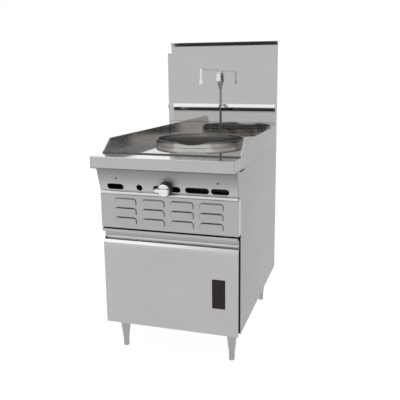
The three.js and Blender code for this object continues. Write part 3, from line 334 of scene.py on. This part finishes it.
def plainMetal(name, color, roughness, patchScale, contrast, bump=0.0):
    recipe = Recipe(name)
    patches = recipe.noise(recipe.stretched((1, 1, 1)), patchScale, detail=4.0, roughness=0.6)
    shade = recipe.remapped(patches, 0.3, 0.7, 0.0, 1.0)
    dark = tuple(c * (1 - contrast) for c in color) + (1.0,)
    light = tuple(min(c * (1 + contrast), 1.0) for c in color) + (1.0,)
    return recipe.finish(
        Base_Color=recipe.mixed(shade, dark, light),
        Metallic=1.0,
        Roughness=(shade - 0.5) * (roughness * 0.4) + roughness,
        Normal=recipe.bumped(patches, bump, 0.3),
    )


chrome = plainMetal("chrome", (0.72, 0.74, 0.74), 0.08, 60.0, 0.03)
drawnSteel = plainMetal("drawnSteel", (0.34, 0.34, 0.33), 0.3, 60.0, 0.05)
screwSteel = plainMetal("screwSteel", (0.1, 0.1, 0.1), 0.3, 90.0, 0.1)
knobMetal = plainMetal("knobMetal", (0.74, 0.76, 0.76), 0.3, 220.0, 0.04, bump=0.04)
brass = plainMetal("brass", (0.42, 0.27, 0.1), 0.3, 90.0, 0.12, bump=0.05)
copper = plainMetal("copper", (0.5, 0.2, 0.1), 0.28, 50.0, 0.2, bump=0.03)
castIron = plainMetal("castIron", (0.06, 0.055, 0.05), 0.62, 160.0, 0.4, bump=0.5)
pipeIron = plainMetal("pipeIron", (0.045, 0.043, 0.04), 0.5, 220.0, 0.3, bump=0.3)


def molded(name, color, roughness, pebble, shine=0.5):
    recipe = Recipe(name)
    pebbles = recipe.noise(recipe.stretched((1, 1, 1)), 900.0, detail=2.0)
    return recipe.finish(
        Base_Color=recipe.mixed(pebbles, tuple(c * 0.8 for c in color) + (1.0,), color + (1.0,)),
        Roughness=(pebbles - 0.5) * 0.1 + roughness,
        Normal=recipe.bumped(pebbles, pebble, 0.05),
        Specular_IOR_Level=shine,
    )


blackPlastic = molded("blackPlastic", (0.008, 0.008, 0.008), 0.25, 0.05)
# black paint, also standing in for the shade in the gap round the door
blackPaintAndGapShade = molded("blackPaintAndGapShade", (0.006, 0.006, 0.006), 0.5, 0.1)
plateEnamel = molded("plateEnamel", (0.014, 0.007, 0.006), 0.45, 0.03, shine=0.25)
print("finishes made")


def dropSelection():
    if bpy.context.object and bpy.context.object.mode != "OBJECT":
        bpy.ops.object.mode_set(mode="OBJECT")
    bpy.ops.object.select_all(action="DESELECT")


def takeUp(piece):
    dropSelection()
    piece.select_set(True)
    bpy.context.view_layer.objects.active = piece


def editAll(piece):
    takeUp(piece)
    bpy.ops.object.mode_set(mode="EDIT")
    bpy.ops.mesh.select_mode(type="VERT")
    bpy.ops.mesh.select_all(action="SELECT")


def applyModifier(piece, kind, **settings):
    takeUp(piece)
    modifier = piece.modifiers.new(kind.lower(), kind)
    for key, value in settings.items():
        setattr(modifier, key, value)
    bpy.ops.object.modifier_apply(modifier=modifier.name)


def settle(piece, name):
    # a finished piece sits at the origin, unturned and unscaled
    takeUp(piece)
    bpy.ops.object.transform_apply(location=True, rotation=True, scale=True)
    piece.name = name
    piece.data.name = name
    return piece


def smoothed(piece, angle=35):
    takeUp(piece)
    bpy.ops.object.shade_smooth_by_angle(angle=math.radians(angle))
    applyModifier(piece, "WEIGHTED_NORMAL", keep_sharp=True)
    return piece


def rounded(piece, width, segments=2, angle=foldAngle):
    applyModifier(piece, "BEVEL", width=width * mm, segments=segments,
                  limit_method="ANGLE", angle_limit=math.radians(angle))
    return smoothed(piece)


def slotOf(nodeName):
    for part in frame["record"]["subparts"]:
        if part["node"] == nodeName:
            return part["material_slot"]


def dress(piece, material, *replaced, body=None, slot=None):
    # material, what it stands for, the body it rides on, and the record's slot, which is not used
    piece.data.materials.clear()
    piece.data.materials.append(material)
    if replaced:
        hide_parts(*replaced)
    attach(piece, body or nodes[replaced[0]]["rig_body"])
    slot or slotOf(replaced[0])
    return piece


def weighFolds(piece, narrow):
    # long folds get the full radius, and the thin rims of a sheet a small part of it
    mesh = piece.data
    weights = mesh.attributes.new("bevel_weight_edge", "FLOAT", "EDGE")
    flat = math.cos(math.radians(foldAngle))
    beside = {}
    for face in mesh.polygons:
        for key in face.edge_keys:
            beside.setdefault(key, []).append(face)
    for edge in mesh.edges:
        faces = beside.get(edge.key, [])
        if len(faces) != 2 or faces[0].normal.dot(faces[1].normal) > flat:
            continue
        length = (mesh.vertices[edge.key[0]].co - mesh.vertices[edge.key[1]].co).length
        width = min(face.area for face in faces) / max(length, 1e-6)
        weights.data[edge.index].value = 1.0 if width > rimWidth * mm else narrow


def finished(nodeName, material, fold=1.0, narrow=0.35, segments=2):
    # the frame's own piece with its corners merged and its edges rounded
    piece = bpy.data.objects.new(nodeName, nodes[nodeName].data.copy())
    bpy.context.scene.collection.objects.link(piece)
    editAll(piece)
    bpy.ops.mesh.remove_doubles(threshold=sameCorner * mm)
    bpy.ops.mesh.dissolve_limited(angle_limit=math.radians(0.8))
    bpy.ops.mesh.select_all(action="SELECT")
    bpy.ops.mesh.vert_connect_concave()
    dropSelection()
    weighFolds(piece, narrow)
    applyModifier(piece, "BEVEL", width=fold * mm, segments=segments, limit_method="WEIGHT")
    smoothed(piece)
    return dress(settle(piece, nodeName + "_finished"), material, nodeName)


def turned(name, profile, steps=64, closed=False):
    # a profile of [radius, height] in mm, spun about the vertical axis through the origin
    dropSelection()
    bpy.ops.mesh.primitive_plane_add(size=mm, location=(0, 0, 0))
    piece = bpy.context.object
    editAll(piece)
    bpy.ops.mesh.merge(type="CENTER")
    bpy.ops.transform.translate(value=(profile[0][0] * mm, 0, profile[0][1] * mm))
    for (r0, h0), (r1, h1) in zip(profile, profile[1:]):
        step = ((r1 - r0) * mm, 0, (h1 - h0) * mm)
        bpy.ops.mesh.extrude_region_move(TRANSFORM_OT_translate={"value": step})
    if closed:
        back = ((profile[0][0] - profile[-1][0]) * mm, 0, (profile[0][1] - profile[-1][1]) * mm)
        bpy.ops.mesh.extrude_region_move(TRANSFORM_OT_translate={"value": back})
    bpy.ops.mesh.select_all(action="SELECT")
    bpy.ops.mesh.spin(steps=steps, angle=math.tau, center=(0, 0, 0), axis=(0, 0, 1))
    bpy.ops.mesh.select_all(action="SELECT")
    bpy.ops.mesh.remove_doubles(threshold=0.004 * mm)
    bpy.ops.mesh.normals_make_consistent(inside=False)
    dropSelection()
    piece.name = name
    return piece


def stood(piece, where, lean=(0, 0, 0)):
    # moved from the origin to its place, leaning by degrees about x, y and z
    piece.location = where
    piece.rotation_euler = [math.radians(angle) for angle in lean]
    return settle(piece, piece.name)


def copied(piece, name, where, lean=(0, 0, 0)):
    twin = bpy.data.objects.new(name, piece.data.copy())
    bpy.context.scene.collection.objects.link(twin)
    return stood(twin, where, lean)


def block(name, low, high):
    # a box between two places, to be worked on further
    dropSelection()
    bpy.ops.mesh.primitive_cube_add(size=1, location=(low + high) / 2, scale=high - low)
    return settle(bpy.context.object, name)


def prism(name, sides, radius, height):
    # a bar with flats, standing on the origin, to be worked on further
    dropSelection()
    bpy.ops.mesh.primitive_cylinder_add(vertices=sides, radius=radius * mm, depth=height * mm,
                                        location=(0, 0, height * mm / 2))
    return settle(bpy.context.object, name)


def picked(piece, kind, wanted):
    # into edit mode with only the faces, edges or corners selected that are wanted
    editAll(piece)
    bpy.ops.mesh.select_all(action="DESELECT")
    bpy.ops.mesh.select_mode(type=kind)
    bpy.ops.object.mode_set(mode="OBJECT")
    mesh = piece.data
    for part in {"FACE": mesh.polygons, "EDGE": mesh.edges, "VERT": mesh.vertices}[kind]:
        part.select = wanted(part)
    bpy.ops.object.mode_set(mode="EDIT")


def pinched(piece, side, factor):
    # the faces that look to one side are scaled in their own plane
    picked(piece, "FACE", lambda face: face.normal.dot(Vector(side)) > 0.9)
    bpy.ops.transform.resize(value=factor)
    dropSelection()
    return piece


def fused(first, *others, operation="UNION"):
    for other in others:
        applyModifier(first, "BOOLEAN", operation=operation, object=other, solver="EXACT")
        bpy.data.objects.remove(other)
    return first


def bentTube(name, corners, bend, radius, sides=16, steps=8):
    # a round bar through corner places, with round bends
    way = [corners[0]]
    for before, corner, after in zip(corners, corners[1:], corners[2:]):
        enter = corner + (before - corner).normalized() * bend * mm
        leave = corner + (after - corner).normalized() * bend * mm
        for i in range(steps + 1):
            t = i / steps
            way.append(enter * (1 - t) ** 2 + corner * 2 * t * (1 - t) + leave * t ** 2)
    way.append(corners[-1])
    curve = bpy.data.curves.new(name, "CURVE")
    curve.dimensions = "3D"
    curve.bevel_depth = radius * mm
    curve.bevel_resolution = sides // 4
    curve.use_fill_caps = True
    spline = curve.splines.new("POLY")
    spline.points.add(len(way) - 1)
    for point, here in zip(spline.points, way):
        point.co = (*here, 1)
    piece = bpy.data.objects.new(name, curve)
    bpy.context.scene.collection.objects.link(piece)
    takeUp(piece)
    bpy.ops.object.convert(target="MESH")
    piece = bpy.context.object
    editAll(piece)
    bpy.ops.mesh.remove_doubles(threshold=sameCorner * mm)
    bpy.ops.mesh.normals_make_consistent(inside=False)
    dropSelection()
    return settle(smoothed(piece, 50), name)


for nodeName in ("side_panel_left", "side_panel_right"):
    finished(nodeName, sideSteel)
for nodeName in ("back_panel", "rear_frame", "base_pan", "burner_box_floor",
                 "leg_channel_front", "leg_channel_rear", "door_liner",
                 "door_hinge_lower", "door_hinge_upper", "manifold_bracket", "burner_stand"):
    finished(nodeName, galvanised, fold=0.6)
# black paint on the door frame, partly painted shade: it makes the gap round the door look dark
finished("door_frame", blackPaintAndGapShade, fold=0.6)
finished("front_rail", railSteel, fold=1.2)
finished("control_panel", panelSteel)
finished("louvre_panel", louvreSteel, fold=2.4, narrow=0.12, segments=4)
finished("door_skin", frontSteel)
finished("door_pull", pullSteel, fold=0.8)
print("cabinet made")

finished("wok_deck", deckSteel)
for nodeName in ("splash_left", "splash_right"):
    finished(nodeName, splashSteel, fold=0.6)
finished("splash_back", seamShadowSteel, fold=0.4)
for nodeName in ("backguard_lower_panel", "backguard_upper_panel"):
    finished(nodeName, wallSteel)
finished("backguard_rear_panel", rearSteel)
for nodeName in ("backguard_side_left", "backguard_side_right"):
    finished(nodeName, guardSteel)
print("top made")

for nodeName in ("fire_chamber", "burner_venturi"):
    finished(nodeName, castIron)
finished("gas_manifold", pipeIron, fold=0.4)
for nodeName in ("gas_valve", "pilot_valve", "pilot_burner", "valve_stem"):
    finished(nodeName, brass, fold=0.6)
for nodeName in ("water_tube", "pilot_tube"):
    finished(nodeName, copper, fold=0.4)
finished("door_catch", blackPlastic, fold=0.8)
print("gas train made")


ringShape = {
    "radius": 214,
    "base": 914.3,
    "height": 26,
    "bore": 207,
    "narrowing": 0.6,
    "skirtWall": 2.5,
    "skirtDepth": 60,
    "dipWidth": 155,
    "dipDepth": 13,
    "dipReach": (60, 20),  # of its cutter, inside and outside the rim
    "turn": 6.5,
}


def makeRing():
    # a rolled wall that narrows towards the deck and hangs in its hole, with a dip in front
    s = ringShape
    outer, bore = s["radius"], s["bore"]
    inner = bore + s["narrowing"]
    base, top = s["base"], s["base"] + s["height"]
    low = base - s["skirtDepth"]
    skirt = bore + s["skirtWall"]
    ring = turned("wok_ring_turned", [
        (bore, low + 0.6), (bore + 0.6, low), (skirt - 0.6, low), (skirt, low + 0.6),
        (skirt, base), (outer - 0.8, base), (outer, base + 0.8), (outer, top - 1.6),
        (outer - 0.4, top - 0.6), (outer - 1.2, top - 0.1), (outer - 2.6, top),
        (inner + 1.6, top - 0.6), (inner + 0.5, top - 1.4), (inner, top - 2.8), (bore, base),
    ], steps=160, closed=True)
    radius = (s["dipWidth"] ** 2 / 4 + s["dipDepth"] ** 2) / (2 * s["dipDepth"])
    inside, beyond = s["dipReach"]
    dip = prism("dip", 256, radius, inside + beyond)
    dip = stood(dip, Vector((0, inside - outer, top - s["dipDepth"] + radius)) * mm, (90, 0, 0))
    ring = fused(ring, dip, operation="DIFFERENCE")
    ring = stood(ring, place(*ringMiddle, 0), (0, 0, s["turn"]))
    dress(settle(smoothed(ring, 30), "wok_ring_turned"), ringSteel, "wok_ring")


legShape = {
    "places": {"front_left": (-254, 166), "front_right": (254, 166),
               "rear_left": (-254, 828), "rear_right": (254, 828)},
    "leg": [(6.4, 36.3), (12.6, 36.3), (13.4, 37.1), (13.5, 44), (15, 50), (23.4, 122),
            (25.6, 134), (26.8, 141), (27, 144), (27, 150.6), (26, 151.6), (7, 151.6)],
    "foot": [(0, 0.1), (9, 0.1), (11.6, 0.8), (12.8, 2.6), (13, 5), (13, 26), (12.7, 27.2),
             (12.2, 27.8), (12.2, 29), (12.7, 29.6), (13, 30.6), (13, 34), (12.2, 35.6),
             (11, 36)],
    "stud": {"radius": 6, "groove": 0.6, "pitch": 1.75, "bottom": 36, "turns": 30},
}


def makeLegs():
    # the leg's tapered shell and the screwed foot in its end, each turned once and copied
    s = legShape["stud"]
    thread = []
    for number in range(s["turns"]):
        z = s["bottom"] + number * s["pitch"]
        thread += [(s["radius"] - s["groove"], z), (s["radius"], z + s["pitch"] / 2)]
    end = s["bottom"] + s["turns"] * s["pitch"]
    outlines = {"leg": legShape["leg"], "foot": [
        *legShape["foot"], *thread, (s["radius"] - s["groove"], end), (0, end)]}
    shapes = {part: smoothed(turned(part, outlines[part], steps=56), 30) for part in outlines}
    for corner, (x, y) in legShape["places"].items():
        for part, shape in shapes.items():
            piece = copied(shape, f"{part}_{corner}_turned", place(x, y, 0))
            dress(piece, legSteel, f"{part}_{corner}")
    for shape in shapes.values():
        bpy.data.objects.remove(shape)


makeRing()
makeLegs()
print("ring and legs made")


knobShape = {
    "axis": 777.0,
    "faceY": 35,
    "gripLeft": 36,
    "gripRight": 25.4,
    "gripHeight": 12.6,
    "gripHalf": 13,
    "disc": [(0, 1.0), (12, 0.9), (19.4, 0.5), (23.6, -0.4), (25.4, -1.6), (26, -3.2),
             (26, -4.4), (25.4, -5), (0, -5)],
    "skirtFrontY": 40.3,
    "skirtBackY": 61,
    "skirtRadius": 29.5,
    "stemRadius": 4.4,
}


def makeKnob():
    # a domed disc with a long tapered grip across it, and the black skirt behind
    s = knobShape
    face = turned("control_knob_cast", s["disc"], steps=80)
    face = stood(face, place(0, s["faceY"], s["axis"]), (90, 0, 0))
    front, half = s["faceY"] - s["gripHeight"], s["gripHalf"]
    grip = block("grip", place(-s["gripLeft"], front, s["axis"] - half),
                 place(s["gripRight"], s["faceY"] + 2, s["axis"] + half))
    grip = pinched(grip, (0, -1, 0), (0.93, 1, 0.6))
    grip = pinched(grip, (-1, 0, 0), (1, 0.96, 0.75))
    grip = rounded(grip, 2.6, segments=4)
    face = fused(face, grip)
    dress(settle(rounded(face, 0.5, angle=40), "control_knob_cast"), knobMetal, "control_knob")
    depth = s["skirtBackY"] - s["skirtFrontY"]
    stem, rim = s["stemRadius"], s["skirtRadius"]
    hub = rim - 6
    skirt = turned("knob_skirt_turned", [
        (stem, 0), (hub - 1, 0), (hub, -1), (hub + 0.6, 3.8 - depth), (hub + 2, 3.1 - depth),
        (rim - 0.8, 2.8 - depth), (rim, 2 - depth), (rim, 0.8 - depth), (rim - 0.8, -depth),
        (stem, -depth)], steps=80, closed=True)
    skirt = stood(smoothed(skirt, 30), place(0, s["skirtFrontY"], s["axis"]), (90, 0, 0))
    dress(skirt, blackPlastic, "knob_skirt")


makeKnob()
print("knob made")


faucetShape = {
    "axis": (0, 869.3),
    "bodyBottom": 1209.0,
    "bodyTop": 1250.0,
    "bodyHalf": 10.4,
    "wall": 904,
    "riserY": 896.7,
    "riserRadius": 4,
    "riserEnds": (905.2, 1164.4),
    "nutRadius": 5.2,
    "nutHeight": 7.6,
    "nutZ": 914.5,
    "bracketHalf": 5.4,
    "bracketFront": 7.6,  # ahead of the axis
    "bracketPlate": (1201, 1208.6),
    "funnelStep": (0, 15.4, -35.8),
    "funnelShrink": (0.78, 0.27, 1),
    "collar": [(4.9, 0.1), (7.2, 0.1), (7.9, 0.8), (7.9, 1.8), (7.3, 2.2), (7.3, 2.6), (7.9, 3.0),
               (7.9, 5.6), (7.0, 7.2), (6.2, 7.8), (4.9, 7.8)],
    "spoutTop": 1268,
    "spoutReach": 317,
    "spoutDrop": 50,
    "spoutRadius": 4.5,
    "spoutBend": 13,
    "nozzle": [(3.4, -22.6), (6.4, -23), (7.6, -22.6), (8.2, -21.4), (8.5, -19.6), (8.5, -16.2),
               (8.1, -15.8), (8.1, -15.2), (8.5, -14.8), (8.5, -7.4), (7.8, -5.4), (6.2, -3.2),
               (5.6, -1.4), (5.4, -0.2), (3.2, -0.2), (3.2, -14)],
    "leverZ": 1238,
    "leverLean": 24,
    "leverBack": 10.8,  # behind the axis
    "stub": [(0, 0), (4.4, 0), (4.4, -4), (3.6, -4.6), (3.6, -5.4), (4.4, -6), (4.4, -8.4),
             (3.8, -9), (0, -9)],
    "handleHalf": 3.3,
    "handleDepth": (8, 10.9),
    "handleHeight": (-34, 3.4),
}


def makeFaucet():
    # riser, forged bracket, square body with its nut, swinging spout, nozzle and lever
    s = faucetShape
    x, y = s["axis"]
    ends = [place(x, s["riserY"], z) for z in s["riserEnds"]]
    riser = bentTube("riser", ends, s["spoutBend"], s["riserRadius"])
    nut = rounded(prism("nut", 6, s["nutRadius"], s["nutHeight"]), 0.5)
    nut = stood(nut, place(x, s["riserY"], s["nutZ"]))
    dress(settle(fused(riser, nut), "faucet_riser_drawn"), riserSteel, "faucet_riser")

    half, (under, over) = s["bracketHalf"], s["bracketPlate"]
    bracket = block("bracket", place(x - half, y - s["bracketFront"], under),
                    place(x + half, s["wall"] - 0.2, over))
    picked(bracket, "FACE", lambda face: face.normal.z < -0.9)
    step = Vector(s["funnelStep"]) * mm
    bpy.ops.mesh.extrude_region_move(TRANSFORM_OT_translate={"value": step})
    bpy.ops.transform.resize(value=s["funnelShrink"])
    dropSelection()
    bracket = rounded(bracket, 1.6, segments=4, angle=15)
    dress(settle(bracket, "faucet_bracket_forged"), drawnSteel, "faucet_bracket")

    half = s["bodyHalf"]
    body = block("body", place(x - half, y - half, s["bodyBottom"]),
                 place(x + half, y + half, s["bodyTop"]))
    body = rounded(body, 2.4, segments=4)
    dress(settle(body, "faucet_body_cast"), chrome, "faucet_body")

    collar = turned("spout_collar_turned", s["collar"], steps=48, closed=True)
    collar = stood(smoothed(collar, 30), place(x, y, s["bodyTop"] + 0.3))
    dress(collar, chrome, "spout_collar")

    tip = y - s["spoutReach"]
    low = s["spoutTop"] - s["spoutDrop"]
    spout = bentTube("faucet_spout_bent", [
        place(x, y, s["bodyTop"] + 0.5), place(x, y, s["spoutTop"]),
        place(x, tip, s["spoutTop"]), place(x, tip, low)], s["spoutBend"], s["spoutRadius"], 24)
    dress(spout, chrome, "faucet_spout")

    nozzle = turned("spout_nozzle_turned", s["nozzle"], steps=48, closed=True)
    nozzle = stood(smoothed(nozzle, 30), place(x, tip, low - 0.3))
    dress(nozzle, chrome, "spout_nozzle")

    back = y + s["leverBack"]
    pivot = place(x, back, s["leverZ"])
    stub = stood(turned("stub", s["stub"], steps=32), pivot, (90, 0, 0))
    half, (near, far) = s["handleHalf"], s["handleDepth"]
    bottom, top = (s["leverZ"] + height for height in s["handleHeight"])
    handle = block("handle", place(x - half, back + near, bottom),
                   place(x + half, back + far, top))
    handle = pinched(handle, (0, 0, -1), (1.05, 1, 1))
    handle = rounded(handle, 1.2, segments=3)
    takeUp(handle)
    bpy.ops.object.mode_set(mode="EDIT")
    bpy.ops.mesh.select_all(action="SELECT")
    bpy.ops.transform.rotate(value=math.radians(s["leverLean"]), orient_axis="Y",
                             center_override=pivot)
    dropSelection()
    lever = smoothed(fused(stub, handle), 35)
    dress(settle(lever, "faucet_lever_forged"), drawnSteel, "faucet_lever")


makeFaucet()
print("faucet made")


burnerShape = {
    "top": 825,
    "boxHalf": 26,
    "boxBottom": 750,
    "dish": [(0, -28), (54, -28), (58, -27.4), (108, -13.4), (110, -11.4), (110, -1.2),
             (108.8, 0), (87, 0), (85.4, -0.7), (48, -14.2), (45, -15), (0, -15)],
    "jet": [(0, -3), (4.2, -3), (4.2, 2.4), (3.0, 3.6), (2.6, 7.4), (2.0, 8.2), (0.9, 8.2),
            (0.9, 6.4), (0, 6.4)],
    "rings": [(94, 24, -0.2), (66, 16, -8.065), (38, 8, -15)],  # radius, jets, height
}


def makeBurner():
    # a cast dish on its mixing box, with rings of brass jets screwed into it
    s = burnerShape
    x, y = ringMiddle
    dish = stood(turned("dish", s["dish"], steps=96), place(x, y, s["top"]))
    half = s["boxHalf"]
    mixer = block("mixer", place(x - half, y - half, s["boxBottom"] + 0.2),
                  place(x + half, y + half, s["top"] - 26))
    dish = rounded(fused(dish, mixer), 1.2)
    dress(settle(dish, "burner_head_cast"), castIron, "burner_head")
    jet = smoothed(turned("jet", s["jet"], steps=20), 40)
    count = 0
    for radius, number, height in s["rings"]:
        for i in range(number):
            angle = math.tau * (i + 0.5) / number
            where = place(x + radius * math.cos(angle), y + radius * math.sin(angle),
                          s["top"] + height)
            dress(copied(jet, f"burner_jet_{count}", where), brass, body="range", slot="brass")
            count += 1
    bpy.data.objects.remove(jet)


plateShape = {
    "low": (188.5, 84.2, 270),
    "high": (245.5, 85.7, 398),
    "corner": 2.5,
    "border": 3.5,
    "sink": 0.5,
}


def makePlate():
    # a bare enamelled plate with a raised border
    s = plateShape
    plate = block("blank_plate_pressed", place(*s["low"]), place(*s["high"]))
    corners = plate.data.vertices
    picked(plate, "EDGE", lambda edge: abs(
        corners[edge.vertices[0]].co.y - corners[edge.vertices[1]].co.y) > 1 * mm)
    bpy.ops.mesh.bevel(offset=s["corner"] * mm, segments=4)
    picked(plate, "FACE", lambda face: face.normal.y < -0.9)
    bpy.ops.mesh.inset(thickness=s["border"] * mm)
    bpy.ops.transform.translate(value=(0, s["sink"] * mm, 0))
    dropSelection()
    dress(settle(rounded(plate, 0.25), "blank_plate_pressed"), plateEnamel, "blank_plate")


pipeShape = {
    "manifoldZ": 750.2,
    "manifoldY": 128,
    "supplyX": 262,
    "start": 240.3,
    "back": 974,
    "radius": 13.35,
    "bore": 10.45,
    "bend": 20,
    "run": 914,  # where the drawn pipe ends inside its threaded end
    "endLength": 62,
    "threadPitch": 1.8,
    "threadDepth": 0.8,
    "threadTurns": 9,
    "inlet": (200, 880),
    "inletRadius": 10.65,
    "inletBore": 7.8,
    "inletBack": 974,
    "inletFront": 950,
}


def threadedEnd(radius, bore, length):
    # grooves like those of a pipe thread, then the plain pipe, with a blind bore in its end
    s = pipeShape
    root, pitch = radius - s["threadDepth"], s["threadPitch"]
    points = [(bore, -length + 6), (bore, -0.6), (bore + 0.6, 0)]
    for i in range(s["threadTurns"]):
        points += [(root, -i * pitch), (radius - 0.1, -i * pitch - pitch * 0.45)]
    end = -s["threadTurns"] * pitch
    return points + [(root, end), (radius, end - 1), (radius, -length)]


def makePipes():
    # the supply pipe and the water inlet, threaded where they leave the back
    s = pipeShape
    pipe = bentTube("supply", [
        place(s["start"], s["manifoldY"], s["manifoldZ"]),
        place(s["supplyX"], s["manifoldY"], s["manifoldZ"]),
        place(s["supplyX"], s["run"], s["manifoldZ"])], s["bend"], s["radius"], 40)
    length = s["endLength"]
    end = turned("end", threadedEnd(s["radius"], s["bore"], length) + [
        (0, -length), (0, -length + 6)], steps=48)
    end = stood(smoothed(end, 30), place(s["supplyX"], s["back"], s["manifoldZ"]), (-90, 0, 0))
    takeUp(pipe)
    end.select_set(True)
    bpy.ops.object.join()
    dress(settle(pipe, "gas_supply_pipe_drawn"), pipeIron, "gas_supply_pipe")
    x, z = s["inlet"]
    length = s["inletBack"] - s["inletFront"]
    inlet = turned("inlet", threadedEnd(s["inletRadius"], s["inletBore"], length) + [
        (0, -length)], steps=48)
    inlet = stood(smoothed(inlet, 30), place(x, s["inletBack"], z), (-90, 0, 0))
    dress(settle(inlet, "water_inlet_turned"), brass, "water_inlet")


fastenerShape = {
    "panelTop": (47, 860.7),  # y and z of the slanted panel's upper edge
    "panelSlope": (33, 103.5),  # how far it goes back, and down
    "panelScrews": [(-222, 812), (222, 812)],
    "valveScrews": [(-15.5, 812.5), (11.5, 815)],
    "backY": 965,
    "backScrews": [(-290, 190), (290, 190), (-290, 420), (290, 420), (-290, 650), (290, 650),
                   (-290, 870), (290, 870), (0, 190), (0, 870)],
    "guardScrews": [(-290, 960), (290, 960), (-290, 1160), (290, 1160), (-290, 1350),
                    (290, 1350)],
    "head": [(0, 2.4), (2.0, 2.3), (3.6, 1.6), (4.5, 0.6), (4.6, 0), (0, 0)],
    "smallHead": [(0, 1.6), (1.4, 1.5), (2.4, 0.9), (2.7, 0), (0, 0)],
}


def onPanel(x, z):
    # a place just in front of the slanted control panel
    (topY, topZ), (back, down) = fastenerShape["panelTop"], fastenerShape["panelSlope"]
    return place(x, topY + (topZ - z) * back / down - 0.1, z)


def makeFasteners():
    # crosshead and hexagon heads, each kind modelled once
    s = fastenerShape
    head = turned("head", s["head"], steps=28)
    for angle in (0, 90):
        slot = block("slot", Vector((-2.8, -0.5, 1.2)) * mm, Vector((2.8, 0.5, 3)) * mm)
        head = fused(head, stood(slot, (0, 0, 0), (0, 0, angle)), operation="DIFFERENCE")
    head = smoothed(head, 30)
    lean = 90 + math.degrees(math.atan2(*s["panelSlope"]))
    for number, (x, z) in enumerate(s["panelScrews"]):
        screw = copied(head, f"panel_screw_{number}", onPanel(x, z), (lean, 0, 20 * number))
        dress(screw, screwSteel, body="range", slot="chrome")
    small = turned("small", s["smallHead"], steps=24)
    for number, (x, z) in enumerate(s["valveScrews"]):
        screw = copied(small, f"valve_screw_{number}", onPanel(x, z), (lean, 0, 0))
        dress(screw, knobMetal, body="range", slot="chrome")
    hexagon = rounded(fused(prism("hexagon", 6, 4.6, 2.6), prism("washer", 24, 5.6, 0.9)), 0.3)
    for number, (x, z) in enumerate(s["backScrews"] + s["guardScrews"]):
        screw = copied(hexagon, f"back_screw_{number}", place(x, s["backY"], z),
                       (-90, 11 * number % 60, 0))
        dress(screw, galvanised, body="range", slot="galvanised")
    for shape in (head, small, hexagon):
        bpy.data.objects.remove(shape)


makeBurner()
makePlate()
makePipes()
makeFasteners()
print("small parts made")


studio = {
    "floorSize": 14.0,
    "floorZ": -0.0005,
    "floorWhite": 0.9,
    "floorGlow": 1.1,
    "glowShare": 0.85,
    "ambient": 0.75,
    "lamps": [  # place in metres, size, watts
        ((-2.6, -3.4, 3.4), 2.6, 20),
        ((3.2, -2.4, 2.6), 2.4, 4),
    ],
    "aim": (0, 0, 0.8),
}


def makeFloor():
    dropSelection()
    bpy.ops.mesh.primitive_plane_add(size=studio["floorSize"], location=(0, 0, studio["floorZ"]))
    floor = settle(bpy.context.object, "floor")
    recipe = Recipe("paleFloor")
    recipe.tree.nodes.remove(recipe.surface)
    matte = recipe.make("ShaderNodeBsdfDiffuse", inputs={"Color": grey(studio["floorWhite"])})
    light = {"Color": grey(1.0), "Strength": studio["floorGlow"]}
    glow = recipe.make("ShaderNodeEmission", inputs=light)
    both = recipe.make("ShaderNodeMixShader", inputs={0: studio["glowShare"], 1: matte, 2: glow})
    recipe.feed(recipe.tree.nodes["Material Output"].inputs["Surface"], both)
    floor.data.materials.append(recipe.material)


def makeWorld():
    # white to whatever looks at it, and a little dimmer as a light
    world = bpy.data.worlds.new("studio")
    world.use_nodes = True
    bpy.context.scene.world = world
    tree = world.node_tree
    background = tree.nodes["Background"]
    rays = tree.nodes.new("ShaderNodeLightPath")
    seen = rays.outputs["Is Camera Ray"]
    for name in ("Is Glossy Ray", "Is Transmission Ray"):
        both = tree.nodes.new("ShaderNodeMath")
        both.operation = "MAXIMUM"
        tree.links.new(seen, both.inputs[0])
        tree.links.new(rays.outputs[name], both.inputs[1])
        seen = both.outputs[0]
    level = tree.nodes.new("ShaderNodeMapRange")
    level.inputs["To Min"].default_value = studio["ambient"]
    level.inputs["To Max"].default_value = 1.0
    tree.links.new(seen, level.inputs["Value"])
    tree.links.new(level.outputs[0], background.inputs["Strength"])
    background.inputs["Color"].default_value = grey(1.0)


def makeLamps():
    for where, size, watts in studio["lamps"]:
        dropSelection()
        bpy.ops.object.light_add(type="AREA", location=where)
        lamp = bpy.context.object
        lamp.data.size = size
        lamp.data.energy = watts
        aim = Vector(studio["aim"]) - lamp.location
        lamp.rotation_euler = aim.to_track_quat("-Z", "Y").to_euler()


cameraSettings = {
    "where": (769.9, -1863.2, 1216.8),  # mm, as place takes them
    "yaw": 15.47,
    "pitch": 10.69,
    "roll": 0.15,
    "lens": 46.33,
    "sensor": 36.0,
    "shift": (-0.0529, -0.0571),
}


def makeCamera():
    s = cameraSettings
    dropSelection()
    bpy.ops.object.camera_add(location=place(*s["where"]))
    camera = bpy.context.object
    turn = (90 - s["pitch"], s["roll"], s["yaw"])
    camera.rotation_euler = [math.radians(angle) for angle in turn]
    camera.data.sensor_width = s["sensor"]
    camera.data.lens = s["lens"]
    camera.data.shift_x, camera.data.shift_y = s["shift"]
    bpy.context.scene.camera = camera


makeFloor()
makeWorld()
makeLamps()
makeCamera()
bpy.context.scene.view_settings.view_transform = "Standard"
print("studio made")
